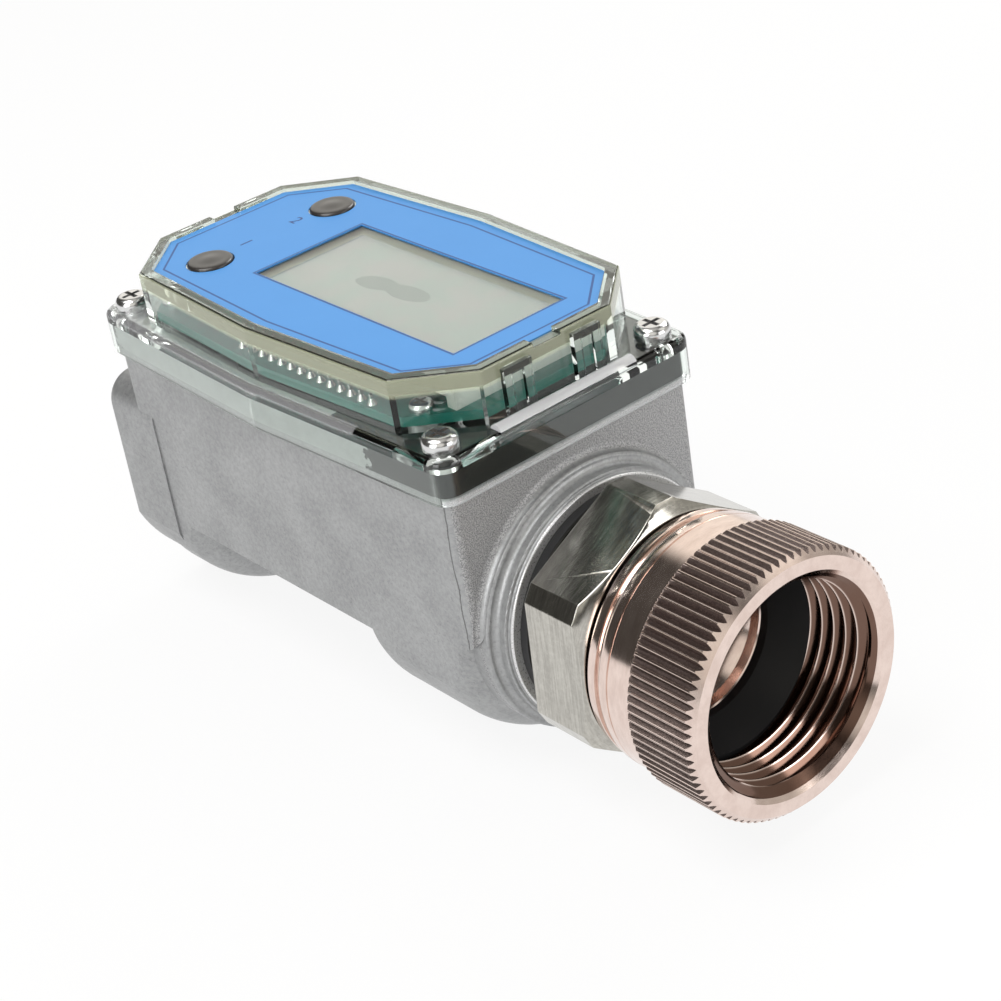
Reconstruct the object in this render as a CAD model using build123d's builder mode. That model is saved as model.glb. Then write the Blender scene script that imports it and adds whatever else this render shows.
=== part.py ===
from build123d import *
import math
import os

# A turbine flow meter for one inch pipe, with a display on top and a hose
# fitting on its outlet. Millimetres. X is the flow axis, from the inlet
# towards the swivel nut, Z is up, and the meter stands on its two feet at Z 0.

# Casting: lengths along the flow axis
inlet_collar_length = 8.5
housing_length = 88.0
outlet_collar_length = 4.7
inlet_foot_length = 11.4
outlet_foot_length = 28.9
root_ring_length = 1.6
outlet_land_length = 0.8

# Casting: heights above the surface that it stands on
axis_height = 24.0
side_wall_foot = 18.3
tray_floor = 43.2
lid_height = 57.2

# Casting: cross-section
housing_width = 46.8
housing_foot_width = 46.6
corner_radius = 1.8
side_blend = 10.0
inlet_foot_radius = 25.4
outlet_foot_radius = 24.8
foot_edge_round = 5.3
foot_root_round = 1.6
foot_edge_share = 0.7
foot_root_share = 0.25
outlet_end_round = 9.0
end_corner_round = 4.8
tube_radius = 17.6
root_ring_radius = 21.9
root_flare = 1.3
outlet_collar_radius = 20.3
outlet_land_radius = 19.7
collar_root_radius = 1.0
ring_edge_round = 0.5
collar_edge_round = 0.3
land_root_round = 0.2
inlet_collar_width = 47.2
inlet_collar_rise = 17.9
inlet_collar_radius = 25.1
inlet_collar_shoulder = 5.1
inlet_collar_edge = 1.4
tray_inset = 3.0

# Bores of the casting
pipe_thread_minor = 30.3
pipe_thread_major = 33.2
inlet_thread_length = 18.0
outlet_thread_length = 15.0
measuring_bore = 25.4
support_bore = 26.4
chamber_length = 18.0

# Clear cover
cover_overhang = 1.5
cover_width_end = 49.0
cover_width_middle = 52.8
cover_corner_radius = 3.0
smallest_corner = 0.5
cover_plate = 2.4
skirt_wall = 1.0
skirt_depth = 7.3
edge_round = 1.2
bead_radius = 1.25
bead_length = 26.2
bead_sink = 0.3

# Window box of the cover
window_length = 84.1
window_end_width = 24.8
window_shoulder_length = 65.8
window_shoulder_width = 44.8
window_middle_width = 48.6
window_rise = 8.8
window_wall = 1.8
window_plate = 2.3
window_edge_round = 0.5
label_recess = 0.85
rim_width = 2.0
rim_gap = 5.2
clip_width = 5.2
clip_rise = 7.6
clip_depth = 1.0
clip_slot = 2.3
clip_web = 0.3
clip_bridge = 1.2
clip_spacing = 13.2

# Gasket
gasket_thickness = 1.4
gasket_lip = 0.6
gasket_lip_drop = 2.6

# Cover screws, M3 pan head
screw_spacing_x = 81.8
screw_spacing_y = 41.0
screw_diameter = 3.0
screw_length = 12.0
screw_head_diameter = 5.7
screw_head_height = 2.1
screw_thread_depth = 9.5

# Cross recess screw heads, as shares of the head's own size
head_crown = 0.6
recess_span = 0.56
recess_slot = 0.13
recess_depth = 0.55

# Display and circuit board
board_thickness = 1.6
board_gap = 0.2
board_inset = 2.4
display_length = 53.6
display_width = 24.6
display_thickness = 2.0
display_gap = 2.3
view_length = 50.2
view_width = 21.2
frame_wall = 0.9
frame_gap = 0.8
frame_bar = 2.0
pin_pitch = 2.54
pin_side = 0.5
pin_count = 18
header_count = 14
header_offset = 19.3
header_pad_radius = 0.8
header_pad_height = 0.9
header_pad_slope = 30.0
header_height = 1.6
post_radius = 2.5
post_from_side = 5.94
post_from_chamfer = 4.65
board_screw_diameter = 2.0
board_screw_length = 6.0
board_screw_head_diameter = 3.8
board_screw_head_height = 1.3
chip_side = 9.0
chip_thickness = 1.1
chip_chamfer = 0.3
coil_part_diameter = 4.6
coil_part_height = 2.6
coil_part_round = 0.4
coil_part_offset = -33.5
label_thickness = 0.25

# Push buttons and the switches under them
button_diameter = 7.6
button_from_post_x = 4.9
button_from_post_y = 4.15
button_rise = 0.05
button_dome = 0.6
button_shoulder_radius = 2.5
button_shoulder_drop = 0.17
button_travel = 0.6
button_flange = 1.0
button_flange_thickness = 0.8
button_gap = 0.2
switch_side = 6.0
switch_height = 1.9
switch_well_spare = 0.3
switch_corner = 0.5
plunger_diameter = 3.4
plunger_depth = 0.4

# Battery: two AAA cells in a holder
cell_diameter = 10.5
cell_length = 44.5
cell_tip_diameter = 3.8
cell_tip_length = 0.8
cell_gap = 0.6
holder_wall = 1.2
holder_height = 6.5
holder_corner = 1.0
contact_thickness = 0.4
contact_width = 7.0
spring_bow = 1.2

# Turbine
rotor_length = 12.0
rotor_tip_gap = 0.35
rotor_hub_radius = 4.6
blade_count = 6
blade_thickness = 0.9
blade_twist = 36.0
blade_root = 1.0
blade_end_gap = 0.5
shaft_diameter = 2.4
shaft_seat = 5.0
bush_radius = 2.4
bush_length = 3.0
rotor_end_gap = 0.4
support_ring_wall = 1.1
support_length = 13.0
support_hub_radius = 4.4
support_nose = 4.0
support_tip = 1.3
support_tip_radius = 2.6
vane_count = 4
vane_thickness = 1.3
vane_root = 0.9
ring_thickness = 1.2
ring_width = 1.9
ring_groove = 0.9
ring_opening = 50.0
coil_radius = 5.0
coil_height = 5.4
bobbin_core_radius = 2.2
bobbin_flange = 0.7
winding_gap = 0.4
coil_floor = 1.1

# Hex bushing
seal_thickness = 1.6
seal_radius = 18.2
bushing_land = 1.6
bushing_land_radius = 17.8
hex_length = 11.7
hex_across_flats = 38.2
hex_corner_flat = 3.1
hex_turn = 27.3
hex_chamfer_angle = 30.0
hex_chamfer_start = 0.3
tail_thread_diameter = 26.4

# Tailpiece
tail_wall = 1.2
tail_thread_length = 12.0
tail_neck_step = 0.25
tail_lip_step = 1.45
tail_lip_thickness = 1.3

# Swivel nut
nut_gap = 0.7
nut_length = 22.6
nut_rear_wall = 1.6
nut_rear_radius = 19.4
nut_band_radius = 19.8
nut_crest_radius = 20.6
nut_root_radius = 20.1
nut_front_radius = 20.45
nut_rear_length = 9.6
knurl_length = 12.0
knurl_count = 90
knurl_groove_width = 0.95
knurl_overcut = 0.1
knurl_skin = 2.4
nut_relief_radius = 16.7
nut_relief_length = 8.5
nut_mouth_radius = 17.35
nut_mouth_depth = 1.9
nut_edge_round = 0.6
groove_width = 0.5
groove_depth = 0.35
groove_positions = (2.4, 4.3)
washer_thickness = 1.4
washer_cup_wall = 1.4

# Clearances
fit_clearance = 0.05
loose_clearance = 0.15
turning_clearance = 0.3

# Stations along the flow axis
overall_length = (
    inlet_collar_length + housing_length + outlet_collar_length
    + seal_thickness + bushing_land + hex_length + nut_gap + nut_length
)
inlet_face_x = -overall_length / 2
inlet_wall_x = inlet_face_x + inlet_collar_length
outlet_wall_x = inlet_wall_x + housing_length
outlet_face_x = outlet_wall_x + outlet_collar_length
land_x = outlet_face_x + seal_thickness
hex_back_x = land_x + bushing_land
hex_front_x = hex_back_x + hex_length
nut_back_x = hex_front_x + nut_gap
nut_mouth_x = nut_back_x + nut_length
lid_x = (inlet_wall_x + outlet_wall_x) / 2
chamber_start_x = lid_x - chamber_length / 2
chamber_end_x = lid_x + chamber_length / 2
relief_end_x = nut_back_x + nut_rear_wall + nut_relief_length
tail_lip_x = nut_back_x + nut_rear_wall + turning_clearance
tail_front_x = tail_lip_x + tail_lip_thickness
bushing_back_x = outlet_face_x - outlet_thread_length + turning_clearance
tail_back_x = hex_front_x - tail_thread_length
knurl_start_x = nut_back_x + nut_rear_length
knurl_end_x = knurl_start_x + knurl_length

# Stations in height
plate_under_z = lid_height - cover_plate
rim_top_z = plate_under_z - gasket_thickness
lip_foot_z = rim_top_z - gasket_lip_drop
wall_top_z = lip_foot_z - fit_clearance
skirt_foot_z = lid_height - skirt_depth
window_top_z = lid_height + window_rise
label_floor_z = window_top_z - label_recess
label_top_z = label_floor_z + label_thickness
window_under_z = label_floor_z - window_plate
board_z = lid_height + board_gap
board_top_z = board_z + board_thickness
display_top_z = window_under_z - loose_clearance
display_z = display_top_z - display_thickness
button_flange_top_z = window_under_z - loose_clearance
button_foot_z = button_flange_top_z - button_flange_thickness
switch_top_z = board_top_z + switch_height
plunger_foot_z = switch_top_z - plunger_depth
cell_z = tray_floor + holder_wall + cell_diameter / 2 + fit_clearance

# Sections that follow from the sizes above
cover_half_length = housing_length / 2 + cover_overhang
gasket_inset = skirt_wall + loose_clearance
rim_inset = gasket_inset + gasket_lip + fit_clearance
screw_clearance_radius = screw_diameter / 2 + loose_clearance
rotor_tip_radius = measuring_bore / 2 - rotor_tip_gap
cell_row = cell_diameter + cell_gap
frame_length = display_length + 2 * (frame_gap + frame_wall)
frame_width = display_width + 2 * (frame_gap + frame_wall)
switch_well = plunger_depth + button_travel + switch_well_spare
tail_bore = tail_thread_diameter - 2 * tail_wall
tail_neck_radius = tail_thread_diameter / 2 + tail_neck_step
tail_lip_radius = tail_neck_radius + tail_lip_step
inlet_foot_end_x = inlet_wall_x + inlet_foot_length
outlet_foot_start_x = outlet_wall_x - outlet_foot_length
end_round_x = outlet_wall_x - outlet_end_round
inlet_foot_step = inlet_foot_radius - tube_radius
outlet_foot_step = outlet_foot_radius - tube_radius


def across_axis(x):
    """A plane across the flow axis at the station x, with its own X along +Y."""
    return Plane(origin=(x, 0, axis_height), x_dir=(0, 1, 0), z_dir=(1, 0, 0))


def along_axis():
    """The plane of a turned profile: its X is the station, its Y the radius."""
    return Plane(origin=(0, 0, axis_height), x_dir=(1, 0, 0), z_dir=(0, -1, 0))


def level(z):
    """A level plane at the height z, centred on the lid."""
    return Plane(origin=(lid_x, 0, z), x_dir=(1, 0, 0), z_dir=(0, 0, 1))


def turned(points, mode=Mode.ADD):
    """Turn a closed profile of (station, radius) points about the flow axis."""
    with BuildSketch(along_axis()) as profile:
        Polygon(*points, align=None)
    revolve(profile.sketch, axis=Axis((0, 0, axis_height), (1, 0, 0)), mode=mode)


def ring_profile(start_x, end_x, inner_radius, outer_radius):
    """The corners of a plain ring's section, for turned."""
    return [
        (start_x, inner_radius),
        (end_x, inner_radius),
        (end_x, outer_radius),
        (start_x, outer_radius),
    ]


def mirrored_outline(quarter, inset):
    """A face whose first quarter, from the middle to the end, is mirrored all round."""
    upper = [(-x, y) for x, y in reversed(quarter[1:])] + quarter
    lower = [(x, -y) for x, y in reversed(upper)]
    Polygon(*upper, *lower, align=None)
    if inset > 0:
        offset(amount=-inset, kind=Kind.INTERSECTION, mode=Mode.REPLACE)


def lid_outline(inset):
    """The barrel outline of the cover's flange, moved inwards by inset."""
    mirrored_outline(
        [(0, cover_width_middle / 2), (cover_half_length, cover_width_end / 2)], inset
    )
    across = vertices().group_by(Axis.X)
    fillet(across[0] + across[-1], max(cover_corner_radius - inset, smallest_corner))


def window_outline(inset):
    """The ten sided outline of the window box, moved inwards by inset."""
    mirrored_outline(
        [
            (0, window_middle_width / 2),
            (window_shoulder_length / 2, window_shoulder_width / 2),
            (window_length / 2, window_end_width / 2),
        ],
        inset,
    )


def inside_shoulder(from_side, from_chamfer):
    """The spot that lies so far inside a long side of the window and its chamfer."""
    middle = Vector(0, window_middle_width / 2)
    shoulder = Vector(window_shoulder_length / 2, window_shoulder_width / 2)
    end = Vector(window_length / 2, window_end_width / 2)
    side_normal = (shoulder - middle).rotate(Axis.Z, 90).normalized()
    chamfer_normal = (end - shoulder).rotate(Axis.Z, 90).normalized()
    across = side_normal.X * chamfer_normal.Y - side_normal.Y * chamfer_normal.X
    back_x = (from_side * chamfer_normal.Y - from_chamfer * side_normal.Y) / across
    back_y = (from_chamfer * side_normal.X - from_side * chamfer_normal.X) / across
    return shoulder.X - back_x, shoulder.Y - back_y


def pan_head_screws(seat, spots, diameter, length, head_diameter, head_height):
    """Pan head screws with a cross recess, their heads standing on the plane seat."""
    with BuildSketch(seat) as heads:
        with Locations(*spots):
            Circle(head_diameter / 2)
    extrude(heads.sketch, amount=head_height)
    fillet(edges().group_by(Axis.Z)[-1], head_height * head_crown)
    with BuildSketch(seat) as shanks:
        with Locations(*spots):
            Circle(diameter / 2)
    extrude(shanks.sketch, amount=-length)
    with BuildSketch(seat.offset(head_height)) as recesses:
        with Locations(*spots):
            Rectangle(head_diameter * recess_span, head_diameter * recess_slot)
            Rectangle(head_diameter * recess_slot, head_diameter * recess_span)
    extrude(recesses.sketch, amount=-head_height * recess_depth, mode=Mode.SUBTRACT)


def corner_spots(spacing_x, spacing_y):
    """The four corners of a rectangle about the lid's centre."""
    return [
        (side_x * spacing_x / 2, side_y * spacing_y / 2)
        for side_x in (-1, 1)
        for side_y in (-1, 1)
    ]


os.makedirs("parts", exist_ok=True)
cover_screw_spots = corner_spots(screw_spacing_x, screw_spacing_y)
post_x, post_y = inside_shoulder(post_from_side, post_from_chamfer)
board_screw_spots = corner_spots(2 * post_x, 2 * post_y)
button_offset = button_from_post_x - post_x
button_spacing = 2 * (post_y - button_from_post_y)
display_offset = (
    button_offset + button_diameter / 2 + button_flange + display_gap + frame_length / 2
)
button_spots = {
    "mode": (button_offset, -button_spacing / 2),
    "set": (button_offset, button_spacing / 2),
}

# Housing: the drafted box that carries the rim, with the root of the outlet collar
with BuildPart() as housing:
    with BuildSketch(level(side_wall_foot)):
        RectangleRounded(housing_length, housing_foot_width, corner_radius)
    with BuildSketch(level(wall_top_z)):
        RectangleRounded(housing_length, housing_width, corner_radius)
    loft()
    with BuildSketch(level(wall_top_z)):
        lid_outline(rim_inset)
    extrude(amount=rim_top_z - wall_top_z)
    with BuildSketch(along_axis()):
        with BuildLine():
            flare_edge = Polyline(
                (end_round_x, 0),
                (end_round_x, root_ring_radius + root_flare),
                (outlet_wall_x, root_ring_radius + root_flare),
            )
            flare_curve = RadiusArc(
                flare_edge @ 1, (outlet_wall_x + root_flare, root_ring_radius), -root_flare
            )
            Polyline(flare_curve @ 1, (outlet_wall_x + root_flare, 0), (end_round_x, 0))
        make_face()
    revolve(axis=Axis((0, 0, axis_height), (1, 0, 0)))
    # Beyond the round of the outlet end it stops at the height of the axis
    with BuildSketch(Plane.XZ):
        Polygon(
            (inlet_wall_x, side_wall_foot),
            (end_round_x, side_wall_foot),
            (end_round_x, axis_height),
            (outlet_wall_x + root_flare, axis_height),
            (outlet_wall_x + root_flare, lid_height),
            (inlet_wall_x, lid_height),
            align=None,
        )
        fillet(vertices().sort_by(Axis.X)[-2:].sort_by(Axis.Y)[0], end_corner_round)
    extrude(amount=housing_width, both=True, mode=Mode.INTERSECT)

# Body casting: a turned lower body with two feet and two collars, and the housing on it
with BuildPart() as body:
    with BuildSketch(along_axis()):
        with BuildLine():
            foot_line = FilletPolyline(
                (inlet_wall_x, 0),
                (inlet_wall_x, inlet_foot_radius),
                (inlet_foot_end_x, inlet_foot_radius),
                (inlet_foot_end_x, tube_radius),
                (outlet_foot_start_x, tube_radius),
                (outlet_foot_start_x, outlet_foot_radius),
                (outlet_wall_x, outlet_foot_radius),
                (outlet_wall_x, 0),
                radius=(
                    corner_radius,
                    min(foot_edge_round, foot_edge_share * inlet_foot_step),
                    min(foot_root_round, foot_root_share * inlet_foot_step),
                    min(foot_root_round, foot_root_share * outlet_foot_step),
                    min(foot_edge_round, foot_edge_share * outlet_foot_step),
                    outlet_end_round,
                ),
            )
            Line(foot_line @ 1, foot_line @ 0)
        make_face()
        with BuildLine():
            collar_line = FilletPolyline(
                (end_round_x, 0),
                (end_round_x, root_ring_radius),
                (outlet_wall_x + root_ring_length, root_ring_radius),
                (outlet_wall_x + root_ring_length, outlet_collar_radius),
                (outlet_face_x - outlet_land_length, outlet_collar_radius),
                (outlet_face_x - outlet_land_length, outlet_land_radius),
                (outlet_face_x, outlet_land_radius),
                (outlet_face_x, 0),
                radius=(
                    ring_edge_round,
                    ring_edge_round,
                    collar_root_radius,
                    collar_edge_round,
                    land_root_round,
                    collar_edge_round,
                ),
            )
            Line(collar_line @ 1, collar_line @ 0)
        make_face()
    revolve(axis=Axis((0, 0, axis_height), (1, 0, 0)))
    # The turned form has flat sides, blended into the round below
    with BuildSketch(across_axis(inlet_wall_x)):
        Circle(inlet_foot_radius)
        Rectangle(housing_foot_width, 3 * inlet_foot_radius, mode=Mode.INTERSECT)
        offset(amount=-side_blend, mode=Mode.REPLACE)
        offset(amount=side_blend, mode=Mode.REPLACE)
    extrude(amount=overall_length, mode=Mode.INTERSECT)
    # Inlet collar, round below and straight sided above
    with BuildSketch(across_axis(inlet_wall_x + inlet_foot_length / 2)):
        Circle(inlet_collar_radius)
        Rectangle(inlet_collar_width, inlet_collar_rise, align=(Align.CENTER, Align.MIN))
        with Locations((0, (inlet_collar_rise - inlet_collar_radius) / 2)):
            Rectangle(
                inlet_collar_width, inlet_collar_rise + inlet_collar_radius, mode=Mode.INTERSECT
            )
        fillet(vertices().group_by(Axis.Y)[-1], inlet_collar_shoulder)
    extrude(amount=-inlet_collar_length - inlet_foot_length / 2)
    fillet(faces().sort_by(Axis.X)[0].edges(), inlet_collar_edge)
    add(housing.part)
    # The two feet are cut flat
    with Locations((0, 0, -axis_height)):
        Box(2 * overall_length, 2 * housing_width, 2 * axis_height, mode=Mode.SUBTRACT)
    # Tray, board posts and screw holes
    with BuildSketch(level(tray_floor)):
        window_outline(tray_inset)
    extrude(amount=rim_top_z - tray_floor, mode=Mode.SUBTRACT)
    with BuildSketch(level(tray_floor)):
        with Locations(*board_screw_spots):
            Circle(post_radius)
    extrude(amount=board_z - tray_floor)
    with BuildSketch(level(board_z)):
        with Locations(*board_screw_spots):
            Circle(board_screw_diameter / 2)
    extrude(amount=-board_screw_length, mode=Mode.SUBTRACT)
    with BuildSketch(level(rim_top_z)):
        with Locations(*cover_screw_spots):
            Circle(screw_diameter / 2)
    extrude(amount=-screw_thread_depth, mode=Mode.SUBTRACT)
    # Well for the pickup coil, over the rotor
    with BuildSketch(level(tray_floor)):
        Circle(coil_radius + fit_clearance)
    extrude(
        amount=axis_height + measuring_bore / 2 + coil_floor - tray_floor, mode=Mode.SUBTRACT
    )
    # Flow passage, with the seats of the rotor supports
    turned(
        [
            (inlet_face_x - 1, 0),
            (inlet_face_x - 1, pipe_thread_minor / 2),
            (inlet_face_x + inlet_thread_length, pipe_thread_minor / 2),
            (inlet_face_x + inlet_thread_length, support_bore / 2),
            (chamber_start_x, support_bore / 2),
            (chamber_start_x, measuring_bore / 2),
            (chamber_end_x, measuring_bore / 2),
            (chamber_end_x, support_bore / 2),
            (outlet_face_x - outlet_thread_length, support_bore / 2),
            (outlet_face_x - outlet_thread_length, pipe_thread_major / 2),
            (outlet_face_x + 1, pipe_thread_major / 2),
            (outlet_face_x + 1, 0),
        ],
        mode=Mode.SUBTRACT,
    )
    # Grooves for the two retaining rings
    for groove_x in (
        chamber_start_x - support_length - ring_thickness - fit_clearance,
        chamber_end_x + support_length,
    ):
        turned(
            ring_profile(
                groove_x,
                groove_x + ring_thickness + fit_clearance,
                measuring_bore / 2,
                support_bore / 2 + ring_groove,
            ),
            mode=Mode.SUBTRACT,
        )
body.part.label = "meter_body"
export_step(body.part, "parts/meter_body.step")

# Gasket: a flat ring between cover and casting, with a lip round the rim
with BuildPart() as gasket:
    with BuildSketch(level(lip_foot_z)):
        lid_outline(gasket_inset)
    extrude(amount=plate_under_z - lip_foot_z)
    with BuildSketch(level(lip_foot_z)):
        lid_outline(rim_inset - fit_clearance)
    extrude(amount=rim_top_z - lip_foot_z, mode=Mode.SUBTRACT)
    with BuildSketch(level(rim_top_z)):
        window_outline(tray_inset)
        with Locations(*cover_screw_spots):
            Circle(screw_clearance_radius)
        with Locations(*board_screw_spots):
            Circle(post_radius + loose_clearance)
    extrude(amount=gasket_thickness, mode=Mode.SUBTRACT)
gasket.part.label = "cover_gasket"
export_step(gasket.part, "parts/cover_gasket.step")

# Clear cover: skirted flange, window box, clips, beads and holes
with BuildPart() as cover:
    with BuildSketch(level(skirt_foot_z)):
        lid_outline(0)
    extrude(amount=skirt_depth)
    fillet(edges().group_by(Axis.Z)[-1], edge_round)
    with BuildSketch(level(skirt_foot_z)):
        lid_outline(skirt_wall)
    extrude(amount=plate_under_z - skirt_foot_z, mode=Mode.SUBTRACT)
    with BuildSketch(level(plate_under_z)):
        window_outline(0)
    extrude(amount=window_top_z - plate_under_z)
    fillet(edges().group_by(Axis.Z)[-1], window_edge_round)
    # Clips stand on both end walls, each with a slot
    for end in (-1, 1):
        wall_x = lid_x + end * window_length / 2
        for side in (-1, 1):
            with Locations((wall_x, side * clip_spacing / 2, plate_under_z)):
                Box(
                    2 * clip_depth,
                    clip_width,
                    clip_rise + cover_plate,
                    align=(Align.CENTER, Align.CENTER, Align.MIN),
                )
            with Locations((wall_x + end * clip_depth, side * clip_spacing / 2, lid_height)):
                Box(
                    2 * (clip_depth - clip_web),
                    clip_slot,
                    clip_rise - clip_bridge,
                    align=(Align.CENTER, Align.CENTER, Align.MIN),
                    mode=Mode.SUBTRACT,
                )
        # Half round bead along the end of the flange
        bead_x = lid_x + end * (cover_half_length - bead_radius)
        with BuildSketch(Plane(origin=(bead_x, 0, lid_height - bead_sink), z_dir=(0, 1, 0))):
            Circle(bead_radius)
        extrude(amount=bead_length / 2, both=True)
    # Hollow under the window, recess for the label, gaps in the rim
    with BuildSketch(level(plate_under_z)):
        window_outline(window_wall)
    extrude(amount=window_under_z - plate_under_z, mode=Mode.SUBTRACT)
    with BuildSketch(level(label_floor_z)):
        window_outline(rim_width)
        Rectangle(2 * window_length, rim_gap)
    extrude(amount=2 * label_recess, mode=Mode.SUBTRACT)
    # Holes for the buttons and the cover screws
    with BuildSketch(level(label_floor_z)):
        with Locations(*button_spots.values()):
            Circle(button_diameter / 2 + button_gap)
    extrude(amount=-window_plate, mode=Mode.SUBTRACT)
    with BuildSketch(level(lid_height)):
        with Locations(*cover_screw_spots):
            Circle(screw_clearance_radius)
    extrude(amount=-cover_plate, mode=Mode.SUBTRACT)
cover.part.label = "clear_cover"
export_step(cover.part, "parts/clear_cover.step")

# Face label, let into the top of the cover
with BuildPart() as face_label:
    with BuildSketch(level(label_floor_z)):
        window_outline(rim_width + fit_clearance)
        with Locations((display_offset, 0)):
            Rectangle(view_length, view_width, mode=Mode.SUBTRACT)
        with Locations(*button_spots.values()):
            Circle(button_diameter / 2 + button_gap, mode=Mode.SUBTRACT)
    extrude(amount=label_thickness)
face_label.part.label = "face_label"
export_step(face_label.part, "parts/face_label.step")

# Cover screws
with BuildPart() as cover_screws:
    pan_head_screws(
        level(lid_height),
        cover_screw_spots,
        screw_diameter - 2 * fit_clearance,
        screw_length,
        screw_head_diameter,
        screw_head_height,
    )
cover_screws.part.label = "cover_screws"
export_step(cover_screws.part, "parts/cover_screws.step")

# Circuit board, its screws and its parts
with BuildPart() as circuit_board:
    with BuildSketch(level(board_z)):
        window_outline(board_inset)
        with Locations(*board_screw_spots):
            Circle(board_screw_diameter / 2 + loose_clearance, mode=Mode.SUBTRACT)
    extrude(amount=board_thickness)
circuit_board.part.label = "circuit_board"
export_step(circuit_board.part, "parts/circuit_board.step")

with BuildPart() as board_screws:
    pan_head_screws(
        level(board_top_z),
        board_screw_spots,
        board_screw_diameter - 2 * fit_clearance,
        board_screw_length,
        board_screw_head_diameter,
        board_screw_head_height,
    )
board_screws.part.label = "board_screws"
export_step(board_screws.part, "parts/board_screws.step")

with BuildPart() as main_chip:
    with BuildSketch(level(board_z)):
        with Locations((display_offset, 0)):
            Rectangle(chip_side, chip_side)
    extrude(amount=-chip_thickness)
    chamfer(edges().group_by(Axis.Z)[0], chip_chamfer)
main_chip.part.label = "main_chip"
export_step(main_chip.part, "parts/main_chip.step")

with BuildPart() as filter_coil:
    with BuildSketch(level(board_top_z)):
        with Locations((coil_part_offset, 0)):
            Circle(coil_part_diameter / 2)
    extrude(amount=coil_part_height)
    fillet(edges().group_by(Axis.Z)[-1], coil_part_round)
filter_coil.part.label = "filter_coil"
export_step(filter_coil.part, "parts/filter_coil.step")

# Display: glass, its frame, and its two rows of pins
with BuildPart() as display_glass:
    with BuildSketch(level(display_z)):
        with Locations((display_offset, 0)):
            Rectangle(display_length, display_width)
    extrude(amount=display_thickness)
display_glass.part.label = "display_glass"
export_step(display_glass.part, "parts/display_glass.step")

with BuildPart() as display_frame:
    with BuildSketch(level(board_top_z)):
        with Locations((display_offset, 0)):
            Rectangle(frame_length, frame_width)
            Rectangle(frame_length - 2 * frame_wall, frame_width - 2 * frame_wall, mode=Mode.SUBTRACT)
        with BuildSketch(mode=Mode.INTERSECT):
            window_outline(window_wall + loose_clearance)
    extrude(amount=display_top_z - board_top_z)
    # The long sides are open below, so that the pins can be soldered
    with Locations((lid_x + display_offset, 0, board_top_z)):
        Box(
            frame_length - 2 * frame_bar,
            2 * frame_width,
            display_z - board_top_z,
            align=(Align.CENTER, Align.CENTER, Align.MIN),
            mode=Mode.SUBTRACT,
        )
    # Ledges at both ends carry the glass
    for end in (-1, 1):
        with Locations((lid_x + display_offset + end * display_length / 2, 0, board_top_z)):
            Box(
                2 * frame_gap,
                frame_width - frame_wall,
                display_z - board_top_z,
                align=(Align.CENTER, Align.CENTER, Align.MIN),
            )
display_frame.part.label = "display_frame"
export_step(display_frame.part, "parts/display_frame.step")

with BuildPart() as display_pins:
    with BuildSketch(level(board_top_z)):
        with Locations((display_offset, 0)):
            with GridLocations(pin_pitch, display_width - 2 * pin_side, pin_count, 2):
                Rectangle(pin_side, pin_side)
    extrude(amount=display_z - board_top_z)
display_pins.part.label = "display_pins"
export_step(display_pins.part, "parts/display_pins.step")

# Row of header pins, soldered along one long edge of the board
with BuildPart() as header_pins:
    with BuildSketch(level(board_top_z)):
        with Locations((display_offset, -header_offset)):
            with GridLocations(pin_pitch, 0, header_count, 1):
                Circle(header_pad_radius)
    extrude(amount=header_pad_height, taper=header_pad_slope)
    with BuildSketch(level(board_top_z)):
        with Locations((display_offset, -header_offset)):
            with GridLocations(pin_pitch, 0, header_count, 1):
                Rectangle(pin_side, pin_side)
    extrude(amount=header_height)
header_pins.part.label = "header_pins"
export_step(header_pins.part, "parts/header_pins.step")

# Push buttons, and the switch and plunger under each
for name, (spot_x, spot_y) in button_spots.items():
    centre_x = lid_x + spot_x
    upright = Plane(origin=(centre_x, spot_y, 0), x_dir=(1, 0, 0), z_dir=(0, -1, 0))
    with BuildPart() as button:
        with BuildSketch(upright):
            with BuildLine():
                cap_z = label_top_z + button_rise
                outline = Polyline(
                    (0, button_foot_z),
                    (button_diameter / 2 + button_flange, button_foot_z),
                    (button_diameter / 2 + button_flange, button_flange_top_z),
                    (button_diameter / 2, button_flange_top_z),
                    (button_diameter / 2, cap_z),
                )
                Spline(
                    outline @ 1,
                    (button_shoulder_radius, cap_z + button_dome - button_shoulder_drop),
                    (0, cap_z + button_dome),
                    tangents=[(-0.25, 1), (-1, 0)],
                )
                Line((0, cap_z + button_dome), (0, button_foot_z))
            make_face()
        revolve(axis=Axis((centre_x, spot_y, 0), (0, 0, 1)))
    button.part.label = f"{name}_button"
    export_step(button.part, f"parts/{name}_button.step")

    with BuildPart() as plunger:
        with BuildSketch(Plane(origin=(centre_x, spot_y, plunger_foot_z))):
            Circle(plunger_diameter / 2)
        extrude(amount=button_foot_z - plunger_foot_z)
    plunger.part.label = f"{name}_plunger"
    export_step(plunger.part, f"parts/{name}_plunger.step")

    with BuildPart() as switch:
        with BuildSketch(Plane(origin=(centre_x, spot_y, board_top_z))):
            Rectangle(switch_side, switch_side)
        extrude(amount=switch_height)
        fillet(edges().filter_by(Axis.Z), switch_corner)
        with BuildSketch(Plane(origin=(centre_x, spot_y, switch_top_z))):
            Circle(plunger_diameter / 2 + button_gap)
        extrude(amount=-switch_well, mode=Mode.SUBTRACT)
    switch.part.label = f"{name}_switch"
    export_step(switch.part, f"parts/{name}_switch.step")

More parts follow.
